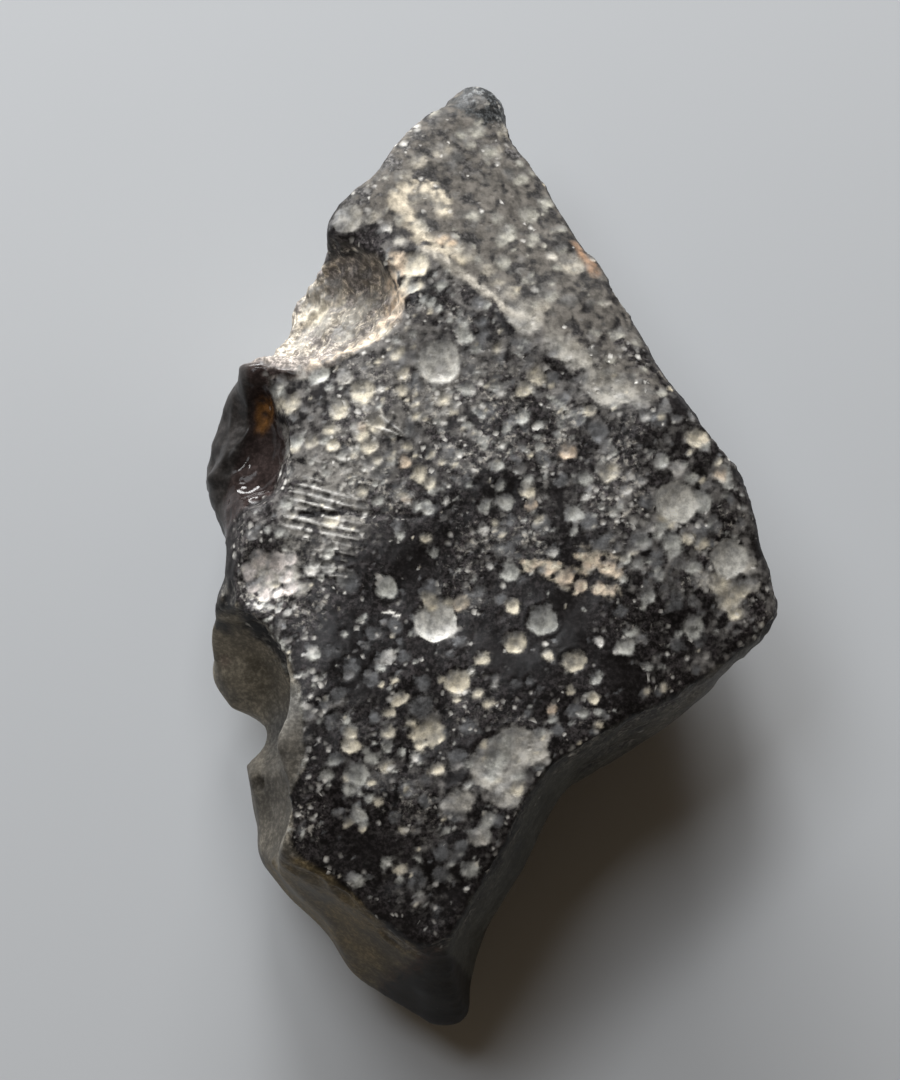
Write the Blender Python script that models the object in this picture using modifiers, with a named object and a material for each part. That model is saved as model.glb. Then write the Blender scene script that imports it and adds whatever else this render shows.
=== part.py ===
"""A philippinite tektite: one broken piece of black natural glass, 40 mm long, lying on its flattest break.

The stone is worked the way it came about. A thick blank of the stone's outline gets a domed underside and a few
weathered planes on top, and is worn smooth. Fresh breaks are then struck from it: walls along the lower edges,
shell-shaped scars on the left and below, and a glossy corner. Last come the burst bubbles that pit its skin.

Run it with: blender --background --python part.py
"""

import math

import bmesh
import bpy
import numpy as np
from mathutils import Euler, Matrix, Vector, noise

MM = 0.001

# Driving dimensions, in millimetres. +X is the stone's right, +Y its pointed top, and +Z is up from the table.
BLANK_BOTTOM = -1.5
BLANK_TOP = 16.0
REST_POINT = (0.0, 0.0, 0.0)
WORN_VOXEL = 0.35
WORN_PASSES = 7
FINE_VOXEL = 0.2
FINE_PASSES = 2
TRIANGLES = 9700
FACING_DOWN = 180.0

# The stone seen from above, clockwise from the blunt knob at its top.
OUTLINE = (
    # blunt knob and the long straight upper right edge
    (-1.4, 19.5), (-0.8, 20.1), (-0.2, 20.0), (0.4, 19.3), (0.7, 18.4), (0.8, 17.5), (1.3, 17.1), (2.0, 16.3),
    (2.4, 15.5), (3.0, 14.3), (3.8, 12.9), (4.6, 11.7), (5.4, 10.2), (6.5, 8.2), (7.6, 6.2), (8.6, 4.8),
    # right shoulder and corner
    (9.9, 3.2), (10.6, 2.1), (10.9, 1.1), (11.2, 0.0), (11.7, -1.1), (12.0, -2.4), (12.0, -3.2), (11.6, -4.0),
    # hollow lower right edge, at its foot
    (10.8, -4.5), (9.1, -6.1), (7.0, -7.8), (4.9, -8.9), (3.1, -10.5), (1.9, -12.4), (0.9, -14.5), (0.0, -16.4),
    (-0.7, -18.4),
    # lower tip and the straight lower left edge
    (-1.1, -19.5), (-1.7, -20.0), (-2.6, -20.0), (-3.5, -19.5), (-4.8, -18.7), (-5.9, -17.5), (-6.9, -15.7),
    (-8.3, -14.5), (-9.6, -13.1), (-10.0, -12.4),
    # scalloped ledge with its two lobes
    (-9.9, -11.3), (-10.3, -9.7), (-10.6, -8.4), (-11.0, -7.0), (-11.5, -5.9), (-11.9, -5.1), (-12.1, -4.1), (-11.9, -3.2), (-11.5, -2.1), (-11.1, -1.4),
    # glossy left corner
    (-11.0, -0.3), (-11.1, 0.7), (-11.6, 1.4), (-12.2, 2.4), (-12.0, 4.0), (-11.6, 5.4), (-11.1, 6.6),
    (-10.4, 7.5), (-9.6, 8.1), (-8.9, 8.8),
    # notched upper left edge
    (-8.4, 9.7), (-8.4, 10.6), (-8.1, 11.2), (-7.3, 11.8), (-7.0, 12.5), (-7.0, 13.4), (-6.5, 14.3),
    (-5.6, 15.1), (-4.9, 15.4), (-4.6, 16.2), (-3.8, 17.5), (-2.8, 18.4),
)

# Half-axes and centre of the egg whose lower end is the weathered underside.
UNDERSIDE_HALF_AXES = (17.0, 26.5, 13.0)
UNDERSIDE_CENTRE = (0.0, 0.0, 12.0)

# The upper rim of the hollow lower right wall, closed by far points, and the taper that makes its foot flare: the
# scale of the cutter's ends about a point on the right.
WALL_RIM = (
    (13.5, -3.0), (11.4, -4.5), (9.3, -6.0), (7.1, -7.4), (5.4, -8.2), (4.1, -9.0), (2.9, -9.7), (2.3, -10.2),
    (1.7, -11.1), (1.0, -12.5), (0.3, -13.9), (-0.4, -14.9), (-1.2, -16.1), (-1.9, -17.2), (-2.3, -19.0),
    (-2.2, -26.0), (18.0, -26.0), (18.0, -3.0),
)
WALL_TAPER_CENTRE = (20.0, -3.0)
WALL_TOP_SCALE = 1.03
WALL_FOOT_SCALE = 0.9

# Weathered planes: a point on the plane, the compass direction that it falls towards (0 is +X, 90 is +Y) and its
# slope from level, in degrees. Past 90 degrees a plane faces down.
WEATHERED_PLANES = {
    "broad_face": ((0.0, 0.0, 13.3), -40, 3),
    "upper_right_face": ((0.7, 9.9, 13.3), 50, 24),
    "right_shoulder": ((7.0, 1.5, 12.9), -15, 19),
    "lower_face": ((-3.5, -11.5, 12.9), -95, 12),
    "ribbed_slope": ((-6.0, 1.5, 13.4), 168, 16),
    "under_right_corner": ((11.8, -3.0, 9.0), -28, 125),
    "under_left_corner": ((-11.9, 2.5, 7.0), 175, 118),
    "under_knob": ((-0.5, 19.8, 8.0), 80, 128),
    "under_upper_left": ((-6.6, 14.0, 6.5), 143, 122),
    "under_upper_right": ((6.6, 8.5, 6.0), 32, 116),
}

# Fresh flat breaks, given in the same way.
FRESH_PLANES = {
    "lower_left_wall": ((-5.2, -15.9, 9.8), -122, 73),
    "lower_tip_wall": ((-2.5, -17.6, 9.8), -93, 71),
    "corner_strip": ((-10.9, 4.0, 10.6), 178, 60),
}

# Shell-shaped breaks: centre and half-axes of the ball that fits the hollow, the heading of its first axis and how
# far that axis dips.
SHELL_SCARS = {
    "pale_hollow": ((-8.4, 10.3, 11.8), (7.0, 2.7, 2.9), 168, 45),
    "corner_hollow": ((-10.3, 4.0, 13.3), (1.9, 3.3, 3.3), 8, 0),
    "left_patch": ((-10.6, -2.1, 14.6), (2.8, 2.0, 3.1), 15, 0),
    "upper_ledge_scar": ((-12.1, -7.0, 10.2), (4.4, 4.1, 5.6), 0, 0),
    "lower_ledge_scar": ((-12.6, -11.2, 10.6), (4.6, 4.4, 6.0), 0, 0),
    "ledge_notch": ((-11.4, -7.4, 3.4), (2.0, 1.3, 6.5), 0, 0),
    "bend_undercut": ((8.5, -14.5, -3.0), (10.0, 8.0, 13.0), 0, 0),
    "under_scar": ((9.5, 6.0, -2.6), (7.0, 6.0, 5.4), 40, 0),
    "under_hollow": ((-8.6, 5.0, -1.4), (4.4, 6.6, 3.6), 80, 0),
}

# Rounded lumps, given in the same way.
LUMPS = {
    "blunt_knob": ((-0.6, 18.8, 9.3), (1.35, 1.5, 1.5), 0, 0),
    "upper_lobe": ((-9.7, -4.3, 4.5), (2.3, 1.8, 2.3), 10, 0),
    "lower_lobe": ((-8.6, -9.8, 4.2), (1.7, 2.4, 2.4), 0, 0),
}

# Burst bubbles on the upper face: x, y and radius of each rim.
FACE_PITS = (
    # upper part
    (-5.8, 12.6, 0.65), (-3.2, 11.0, 0.6), (-3.3, 14.2, 0.6), (1.9, 13.4, 0.5), (3.6, 11.7, 0.6), (0.7, 12.4, 0.45),
    (-2.1, 6.8, 0.8), (2.1, 6.2, 0.45), (5.1, 5.9, 0.9), (2.9, 8.0, 0.5), (-0.3, 9.0, 0.4),
    # ribbed slope and the dusty strip above it
    (-8.3, 5.4, 0.55), (-6.2, 4.9, 0.5), (-5.2, 5.7, 0.55), (-4.8, 4.1, 0.5), (-7.0, 6.6, 0.45), (-6.6, 0.1, 0.45),
    (-7.4, 3.6, 0.4), (-9.3, 0.4, 0.4),
    # middle
    (-3.0, 2.2, 0.45), (3.3, 3.0, 0.45), (5.0, 2.1, 0.4), (-0.6, 3.4, 0.4), (1.2, 0.9, 0.4), (-2.5, -1.3, 0.35),
    (-4.1, -2.8, 0.6), (-6.0, -2.2, 0.5), (3.9, -2.3, 0.75), (-1.2, 1.0, 0.35), (0.4, -1.9, 0.35),
    # right shoulder
    (7.9, 1.0, 1.1), (9.8, -1.1, 0.9), (9.9, -3.0, 0.75), (8.5, 3.8, 0.5), (8.3, -4.2, 0.5), (6.4, -0.9, 0.45),
    (7.6, 3.0, 0.4),
    # lower part
    (-2.2, -3.9, 1.05), (2.3, -4.3, 0.75), (1.0, -5.0, 0.6), (3.5, -6.0, 0.55), (5.7, -5.4, 0.45), (-1.4, -6.7, 0.55),
    (-4.2, -5.7, 0.45), (-0.2, -5.8, 0.38), (0.0, -7.8, 0.38), (2.5, -7.9, 0.4), (-2.7, -8.7, 0.85), (-4.1, -8.0, 0.5),
    (0.5, -9.6, 0.95), (1.0, -10.9, 0.7), (-5.0, -10.3, 0.75), (-1.9, -12.0, 0.45), (-4.1, -14.3, 0.6),
    (-1.2, -14.6, 0.5), (-6.6, -8.6, 0.5),
)
PIT_DEPTH_RATIO = 0.42
SMALL_PIT_COUNT = 240
SMALL_PIT_RADII = (0.3, 0.5)
UNDER_PIT_COUNT = 150
UNDER_PIT_RADII = (0.4, 1.2)

# Hackle ribs that fan out from a point on the upper face.
RIB_CENTRE = (0.4, -1.0)
RIB_REACH = (6.3, 10.0)
RIB_SECTOR = (math.radians(152), math.radians(184))
RIB_PITCH = math.radians(4.6)
RIB_HEIGHT = 0.13

# Slow swellings of the worn skin. Close to the table the skin is left plain, up to a full-height level.
SWELL_LENGTH = 4.5
SWELL_HEIGHT = 0.22
RIPPLE_LENGTH = 1.4
RIPPLE_HEIGHT = 0.07
PLAIN_BELOW = 0.4
PLAIN_FADE = 1.0

GLASS_COLOUR = (0.055, 0.053, 0.054, 1.0)
GLASS_ROUGHNESS = 0.42


def clear_scene():
    for obj in list(bpy.data.objects):
        bpy.data.objects.remove(obj, do_unlink=True)


def new_collection(name):
    collection = bpy.data.collections.new(name)
    bpy.context.scene.collection.children.link(collection)
    return collection


def add_object(name, mesh, collection):
    obj = bpy.data.objects.new(name, mesh)
    collection.objects.link(obj)
    return obj


def evaluated_mesh(obj):
    bpy.context.view_layer.update()
    return bpy.data.meshes.new_from_object(obj.evaluated_get(bpy.context.evaluated_depsgraph_get()))


def settle(obj):
    """Puts what the modifiers made into the object's own mesh."""
    mesh = evaluated_mesh(obj)
    obj.modifiers.clear()
    obj.data = mesh


def weld(mesh):
    shape = bmesh.new()
    shape.from_mesh(mesh)
    bmesh.ops.remove_doubles(shape, verts=shape.verts, dist=0.001 * MM)
    bmesh.ops.recalc_face_normals(shape, faces=shape.faces)
    shape.to_mesh(mesh)
    shape.free()


def make_slab(name, outline, collection):
    """A thick plate of the outline, from the blank's bottom to its top."""
    curve = bpy.data.curves.new(name, "CURVE")
    curve.dimensions = "2D"
    curve.fill_mode = "BOTH"
    curve.extrude = (BLANK_TOP - BLANK_BOTTOM) / 2 * MM
    spline = curve.splines.new("POLY")
    spline.points.add(len(outline) - 1)
    for point, (x, y) in zip(spline.points, outline):
        point.co = (x * MM, y * MM, 0, 1)
    spline.use_cyclic_u = True
    flat = add_object(name, curve, collection)
    flat.location.z = (BLANK_TOP + BLANK_BOTTOM) / 2 * MM
    mesh = evaluated_mesh(flat)
    weld(mesh)
    slab = add_object(name, mesh, collection)
    slab.matrix_world = flat.matrix_world
    bpy.data.objects.remove(flat, do_unlink=True)
    slab.data.transform(slab.matrix_world)
    slab.matrix_world = Matrix()
    slab.name = name
    return slab


def mark_as_cutter(obj):
    obj.hide_render = True
    obj.display_type = "WIRE"
    return obj


def make_wall_cutter(collection):
    """The block that leaves the hollow wall: its top is spread and its foot drawn in, so that the wall flares."""
    cutter = mark_as_cutter(make_slab("hollow_wall", WALL_RIM, collection))
    centre = Vector(WALL_TAPER_CENTRE) * MM
    middle = (BLANK_TOP + BLANK_BOTTOM) / 2 * MM
    for vertex in cutter.data.vertices:
        scale = WALL_TOP_SCALE if vertex.co.z > middle else WALL_FOOT_SCALE
        vertex.co.xy = centre + (vertex.co.xy - centre) * scale
    return cutter


def make_ball(name, centre, half_axes, heading, dip, collection, segments=72):
    shape = bmesh.new()
    bmesh.ops.create_uvsphere(shape, u_segments=segments, v_segments=segments // 2, radius=1.0)
    bmesh.ops.scale(shape, vec=Vector(half_axes) * MM, verts=shape.verts)
    mesh = bpy.data.meshes.new(name)
    shape.to_mesh(mesh)
    shape.free()
    ball = mark_as_cutter(add_object(name, mesh, collection))
    ball.rotation_euler = Euler((0, math.radians(dip), math.radians(heading)), "XYZ")
    ball.location = Vector(centre) * MM
    return ball


def slice_off(stone, point, heading, slope):
    """Cuts away what lies past the plane through the point, and closes the stone there."""
    outwards = Euler((0, math.radians(slope), math.radians(heading)), "XYZ").to_matrix() @ Vector((0, 0, 1))
    shape = bmesh.new()
    shape.from_mesh(stone.data)
    bmesh.ops.triangulate(shape, faces=shape.faces)
    everything = shape.verts[:] + shape.edges[:] + shape.faces[:]
    bmesh.ops.bisect_plane(
        shape, geom=everything, plane_co=Vector(point) * MM, plane_no=outwards, clear_outer=True
    )
    bmesh.ops.holes_fill(shape, edges=[edge for edge in shape.edges if edge.is_boundary])
    bmesh.ops.triangulate(shape, faces=shape.faces)
    bmesh.ops.recalc_face_normals(shape, faces=shape.faces)
    shape.to_mesh(stone.data)
    shape.free()


def cut(stone, cutter, operation="DIFFERENCE"):
    boolean = stone.modifiers.new(cutter.name, "BOOLEAN")
    boolean.operation = operation
    boolean.solver = "EXACT"
    boolean.object = cutter
    settle(stone)


def wear(stone, voxel, passes):
    """Evens out the mesh and rounds its edges."""
    remesh = stone.modifiers.new("remesh", "REMESH")
    remesh.mode = "VOXEL"
    remesh.voxel_size = voxel * MM
    smooth = stone.modifiers.new("smooth", "SMOOTH")
    smooth.factor = 0.5
    smooth.iterations = passes
    settle(stone)


def points_and_normals(mesh):
    """The mesh's points and their normals, as rows of numbers in millimetres."""
    points = np.empty(len(mesh.vertices) * 3)
    mesh.vertices.foreach_get("co", points)
    normals = np.empty(len(mesh.vertices) * 3)
    mesh.vertex_normals.foreach_get("vector", normals)
    return points.reshape(-1, 3) / MM, normals.reshape(-1, 3)


def pit_depths(points, pits):
    """Depth at each point, seen from above, of round bowls of which the deepest wins."""
    depths = np.zeros(len(points))
    for x, y, radius in pits:
        away = np.hypot(points[:, 0] - x, points[:, 1] - y) / radius
        bowl = PIT_DEPTH_RATIO * radius * np.clip(1 - away ** 2, 0, 1)
        depths = np.maximum(depths, bowl)
    return depths


def scattered_pits(seed, count, radii, points):
    random = np.random.default_rng(seed)
    low = points.min(axis=0)
    high = points.max(axis=0)
    x = random.uniform(low[0], high[0], count)
    y = random.uniform(low[1], high[1], count)
    radius = radii[0] + (radii[1] - radii[0]) * random.uniform(0, 1, count) ** 2
    return list(zip(x, y, radius))


def rib_heights(points):
    """Sharp-crested ribs that fan out and fade at the edges of their sector."""
    x = points[:, 0] - RIB_CENTRE[0]
    y = points[:, 1] - RIB_CENTRE[1]
    reach = np.hypot(x, y)
    angle = np.mod(np.arctan2(y, x), 2 * math.pi)
    crest = 1 - np.abs(np.sin(angle * math.pi / RIB_PITCH))
    middle = sum(RIB_REACH) / 2
    along = 1 - ((reach - middle) / (RIB_REACH[1] - middle)) ** 2
    turn = sum(RIB_SECTOR) / 2
    across = 1 - ((angle - turn) / (RIB_SECTOR[1] - turn)) ** 2
    return RIB_HEIGHT * crest * np.sqrt(np.clip(along, 0, 1) * np.clip(across, 0, 1))


def swell_heights(points):
    swell = [noise.noise(Vector(point) / SWELL_LENGTH) for point in points]
    ripple = [noise.noise(Vector(point) / RIPPLE_LENGTH) for point in points]
    return SWELL_HEIGHT * np.array(swell) + RIPPLE_HEIGHT * np.array(ripple)


def weather(stone):
    """Moves the skin in and out: slow swellings, burst bubbles above and below, and the ribs."""
    points, normals = points_and_normals(stone.data)
    facing_up = np.clip((normals[:, 2] - 0.35) / 0.3, 0, 1)
    facing_down = np.clip((-normals[:, 2] - 0.3) / 0.3, 0, 1)
    above = np.maximum(
        pit_depths(points, FACE_PITS),
        pit_depths(points, scattered_pits(7, SMALL_PIT_COUNT, SMALL_PIT_RADII, points)),
    )
    below = pit_depths(points, scattered_pits(11, UNDER_PIT_COUNT, UNDER_PIT_RADII, points))
    heights = swell_heights(points) + facing_up * (rib_heights(points) - above) - facing_down * below
    heights *= np.clip((points[:, 2] - PLAIN_BELOW) / PLAIN_FADE, 0, 1)
    moved = (points + normals * heights[:, None]) * MM
    stone.data.vertices.foreach_set("co", moved.ravel())
    stone.data.update()


def thin_out(stone):
    triangles = sum(len(polygon.vertices) - 2 for polygon in stone.data.polygons)
    decimate = stone.modifiers.new("decimate", "DECIMATE")
    decimate.ratio = TRIANGLES / triangles
    settle(stone)


def centre_over_rest(stone):
    """Sets the origin under the middle of the stone's box, on the table."""
    points, _ = points_and_normals(stone.data)
    middle = (points.min(axis=0) + points.max(axis=0)) / 2
    stone.data.transform(Matrix.Translation((-middle[0] * MM, -middle[1] * MM, 0)))


def make_glass():
    glass = bpy.data.materials.new("tektite_glass")
    glass.use_nodes = True
    shader = glass.node_tree.nodes["Principled BSDF"]
    shader.inputs["Base Color"].default_value = GLASS_COLOUR
    shader.inputs["Roughness"].default_value = GLASS_ROUGHNESS
    shader.inputs["Metallic"].default_value = 0.0
    return glass


def main():
    clear_scene()
    parts = new_collection("philippinite_tektite")
    cutters = new_collection("cutters")
    stone = make_slab("tektite", OUTLINE, parts)
    cut(stone, make_ball("underside", UNDERSIDE_CENTRE, UNDERSIDE_HALF_AXES, 0, 0, cutters), "INTERSECT")
    for point, heading, slope in WEATHERED_PLANES.values():
        slice_off(stone, point, heading, slope)
    wear(stone, WORN_VOXEL, WORN_PASSES)
    cut(stone, make_wall_cutter(cutters))
    for point, heading, slope in FRESH_PLANES.values():
        slice_off(stone, point, heading, slope)
    for name, (centre, half_axes, heading, dip) in SHELL_SCARS.items():
        cut(stone, make_ball(name, centre, half_axes, heading, dip, cutters))
    for name, (centre, half_axes, heading, dip) in LUMPS.items():
        cut(stone, make_ball(name, centre, half_axes, heading, dip, cutters), "UNION")
    wear(stone, FINE_VOXEL, FINE_PASSES)
    weather(stone)
    thin_out(stone)
    slice_off(stone, REST_POINT, 0, FACING_DOWN)
    centre_over_rest(stone)
    stone.data.materials.clear()
    stone.data.materials.append(make_glass())


main()
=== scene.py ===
import math

import bmesh
import bpy
import numpy as np
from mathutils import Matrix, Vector, noise


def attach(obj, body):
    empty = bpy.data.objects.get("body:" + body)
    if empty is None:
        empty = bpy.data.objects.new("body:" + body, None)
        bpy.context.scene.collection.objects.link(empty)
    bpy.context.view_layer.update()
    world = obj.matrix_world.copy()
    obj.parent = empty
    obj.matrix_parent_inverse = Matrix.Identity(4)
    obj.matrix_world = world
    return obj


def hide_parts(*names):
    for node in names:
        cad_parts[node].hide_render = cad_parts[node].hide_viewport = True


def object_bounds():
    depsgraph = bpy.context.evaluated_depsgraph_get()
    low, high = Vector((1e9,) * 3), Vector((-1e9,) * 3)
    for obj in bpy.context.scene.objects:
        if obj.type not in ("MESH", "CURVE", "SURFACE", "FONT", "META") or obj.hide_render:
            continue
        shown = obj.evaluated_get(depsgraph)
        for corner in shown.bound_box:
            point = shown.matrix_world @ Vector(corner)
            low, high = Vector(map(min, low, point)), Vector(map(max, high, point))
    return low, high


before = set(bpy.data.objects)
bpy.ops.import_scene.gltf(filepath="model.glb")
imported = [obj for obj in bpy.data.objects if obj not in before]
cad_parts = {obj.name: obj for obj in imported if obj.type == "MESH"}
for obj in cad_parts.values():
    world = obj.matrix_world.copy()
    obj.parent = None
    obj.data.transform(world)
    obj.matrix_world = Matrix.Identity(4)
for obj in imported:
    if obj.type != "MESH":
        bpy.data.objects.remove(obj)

cad_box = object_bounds()

MM = 0.001

# Lengths and places are in millimetres unless a comment says otherwise.
# The even mesh that the skin is worked on, how it is eased, and which faces are made finer.
SKIN_VOXEL = 0.236
MERGE_WITHIN = 0.001
EASE_STRENGTH = 0.5
EASE_PASSES = 4
UPPER_EASE_PASSES = 26
UPPER_EASE_LEVELS = 10
REFINED_EASE_PASSES = 2
FINER_FACING = 0.4
FINER_PAST_RIM = 0.4

# Chips and grain of worn skin, and how much of them the upper face and the fresh breaks lose.
CHIP_LENGTH = 0.9
CHIP_DEPTH = 0.05
CHIP_LOSS_FRESH = 0.6
CHIP_LOSS_UPPER = 0.5
GRAIN_LENGTH = 0.38
GRAIN_DEPTH = 0.022
GRAIN_LOSS_UPPER = 0.3
# The skin is plain below the first height, fully worked the second further up, and flat below the last.
PLAIN_BELOW = 0.35
PLAIN_FADE = 0.8
FLAT_BELOW = 0.06

# Burst bubbles, each with a slight lip. Sizes are shares of a pit's radius.
PIT_REACH = 1.4
LIP_PLACE = 1.1
LIP_WIDTH = 0.14
LIP_HEIGHT = 0.045
PIT_DEPTHS = {"pale": 0.13, "large": 0.18, "small": 0.22, "patch": 0.06, "dot": 0.1, "side": 0.26}
UPPER_RIGHT_PIT_LOSS = 0.7
# Noise that bends the plan places of the pits: lengths and amounts.
WARPS = ((0.75, 0.15), (0.35, 0.045))
# Seeded small pits: how many are thrown, the share kept, their clumps and their radii.
SMALL_PIT_COUNT = 5200
PIT_SHARE = 0.52
CLUMP_LENGTH = 2.2
CLUMPING = 1.6
SMALL_PIT_RADII = (0.1, 0.32)
SIDE_PIT_COUNT = 900
SIDE_PIT_RADII = (0.15, 0.8)
SMALL_PIT_SEED = 21
KEPT_PIT_SEED = 22
DUST_KIND_SEED = 23
SIDE_PIT_SEEDS = (31, 32, 33)
# Vector noise follows the clock unless it is given a seed.
VECTOR_NOISE_SEED = 24

# How far edges between breaks stray as they run down, over what length, and from and to which height.
LOW_STRAY = 2.4
STRAY_LENGTH = 2.6
STRAY_STARTS = 10.5
STRAY_FULL = 4.0

# Fans of ribs: centre, reach from there, sector, angle between ribs, and height.
RIBS = (
    ((14.1, -5.2), (19.9, 23.6), (math.radians(157.5), math.radians(174)), 0.0168, 0.042),
    ((-3.4, 3.4), (0.2, 1.6), (math.radians(100), math.radians(175)), 0.35, 0.08),
)
# Lumps in the hollow and swellings of the glossy corner: the length of their noise and its amount.
LUMP_LENGTHS = ((1.9, 0.6), (0.8, -0.34), (0.34, 0.15))
CORNER_SWELLS = ((1.3, 0.22), (0.45, 0.05))
CORNER_RIDGE_HEIGHT = 0.42
PALE_RIDGE_HEIGHT = 0.05
LOBE_HOLE_DEPTH = 0.35

# Dust in a pit: how soft its edge is outwards and inwards, the side towards the light that the lip shades,
# and how much painted shade thins the dust there.
SOFT_OUT = 0.12
SOFT_IN = 0.21
SHADED_SIDE = (-0.5, 0.85)
PAINTED_SHADE_LOSS = 0.45
# Where small pits stop being dull, filmed and grey in a draw from 0 to 1. The rest are cream.
SMALL_PIT_KINDS = (0.3, 0.6, 0.86)
# How much of each colour the dust on the upper right face loses.
FACE_FADING = (0.22, 0.25, 0.3)
# The grey film's usual share, the most it can be, and the share of dust in the side pits.
FILM_BASE = 0.17
FILM_MOST = 0.85
SIDE_DUST = 0.3
# Fine specks, pale dust that is partly painted glints: the length of their cells, radii as shares of it, and
# how many cells hold one.
SPECK_SIZES = ((0.5, (0.22, 0.6), 0.7), (0.3, (0.35, 0.75), 0.75))
BUMP_STRENGTH = 0.6
BUMP_HEIGHT = 0.4

# Finishes, as linear colours, with the roughness of each ground.
BLACK_GLASS = (0.0168, 0.015, 0.0154)
BLACK_ROUGH = 0.33
WEATHERED = (0.04, 0.038, 0.037)
WEATHERED_ROUGH = 0.62
KNOB_GREY = (0.035, 0.037, 0.038)
KNOB_ROUGH = 0.4
BREAK_GREY = (0.088, 0.088, 0.075)
BREAK_PALE = (0.128, 0.119, 0.102)
BREAK_ROUGH = 0.5
OLIVE = (0.175, 0.138, 0.078)
TIP_GREY = (0.02, 0.016, 0.012)
RIDGE_BROWN = (0.06, 0.034, 0.022)
OLIVE_ROUGH = 0.5
LOBE_BROWN = (0.25, 0.223, 0.172)
LOBE_DARK = (0.148, 0.136, 0.115)
LOBE_SPOT = (0.38, 0.3, 0.25)
BAND_GREY = (0.185, 0.18, 0.166)
LOBE_ROUGH = 0.55
HOLLOW_CREAM = (0.46, 0.415, 0.345)
HOLLOW_GREY = (0.205, 0.187, 0.176)
HOLLOW_PINK = (0.3, 0.265, 0.245)
# The flank's grey, painted paler to stand in for light in its shade.
FLANK_GREY_AND_PAINTED_LIGHT = (0.19, 0.175, 0.165)
HOLLOW_ROUGH = 0.75
CORNER_BLACK = (0.046, 0.034, 0.032)
CORNER_ROUGH = 0.1
CORNER_GREY = (0.042, 0.038, 0.036)
CORNER_GREY_ROUGH = 0.4
STAIN_ORANGE = (0.2, 0.095, 0.03)
STAIN_ROUGH = 0.35
GLASS_INDEX = 1.38
GLASS_SHEEN = 0.3

CREAM_DUST = (0.94, 0.86, 0.675)
# White dust, also used for painted glints.
WHITE_DUST_AND_GLINT = (0.95, 0.93, 0.87)
PEACH_DUST = (1.0, 0.81, 0.61)
PINK_DUST = (0.95, 0.86, 0.81)
RUST_DUST = (0.44, 0.27, 0.165)
PALE_DUST = (0.97, 0.955, 0.875)
GREY_DUST = (0.62, 0.625, 0.575)
HAZE_DUST = (0.56, 0.535, 0.475)
DULL_DUST = (0.11, 0.112, 0.115)
# Slate laid on the shaded side of pits as painted shade, and for their random greying.
SLATE_DUST_AND_SHADE = (0.19, 0.197, 0.207)
FILM_GREY = (0.196, 0.187, 0.177)
# Pale colour painted on the rib crests as their highlight.
RIB_CREST_HIGHLIGHT = (0.9, 0.89, 0.85)
ARC_DUST = (0.84, 0.745, 0.58)
RIDGE_DUST = (0.72, 0.67, 0.575)
CRUMB_GREY = (0.36, 0.35, 0.33)
CRUMB_CREAM = (0.78, 0.74, 0.65)
DUST_ROUGH = 0.8

# Burst bubbles on the upper face by what lies in them: x, y and radius of each rim.
CREAM_PITS = (
    (-3.2, 10.9, 0.59), (-5.4, 5.5, 0.54), (-6.4, 4.8, 0.46), (-8.4, 5.2, 0.46), (-4.8, 4.1, 0.42),
    (-5.1, 3.1, 0.37), (-6.6, 3.2, 0.29), (-3.0, 2.0, 0.33), (-6.6, 0.0, 0.37), (4.9, 2.1, 0.42),
    (3.2, -7.1, 0.25), (-4.0, -6.7, 0.25), (-3.8, -7.5, 0.33), (-4.2, -8.0, 0.29), (-4.2, -8.8, 0.33),
    (-1.4, -6.7, 0.54), (-0.4, -5.7, 0.31), (-0.1, -7.7, 0.31), (3.4, -5.9, 0.54), (2.3, -5.6, 0.29),
    (1.0, -5.1, 0.5), (1.5, 1.3, 0.33), (1.9, 6.2, 0.38), (1.3, 5.5, 0.37), (8.6, 3.7, 0.5),
    (-2.3, -10.4, 0.29), (-4.3, -10.2, 0.29), (-4.9, -10.9, 0.18), (-5.9, -12.6, 0.25), (-3.6, -12.8, 0.21),
    (-3.8, -14.4, 0.25), (-2.1, -6.7, 0.21), (1.1, -11.1, 0.33), (7.2, -6.7, 0.25), (4.4, -8.5, 0.21),
    (-0.6, -7.3, 0.25), (-7.5, 10.1, 0.69), (-6.4, 10.4, 0.38), (-4.5, 8.2, 0.33), (0.9, -3.6, 0.33),
    (-5.8, -9.4, 0.37), (-4.6, -11.7, 0.21), (4.2, -7.4, 0.29), (9.5, -2.3, 0.48), (9.9, -2.9, 0.45),
    (10.1, -3.5, 0.34), (10.4, -2.6, 0.33), (-2.5, -3.5, 0.28), (-1.9, -3.4, 0.3), (-1.3, -3.5, 0.27),
    (-3.1, -8.9, 0.4), (-2.5, -8.6, 0.46), (-2.3, -9.1, 0.36), (-2.9, -9.4, 0.28), (-3.3, -8.4, 0.25),
)
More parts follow.
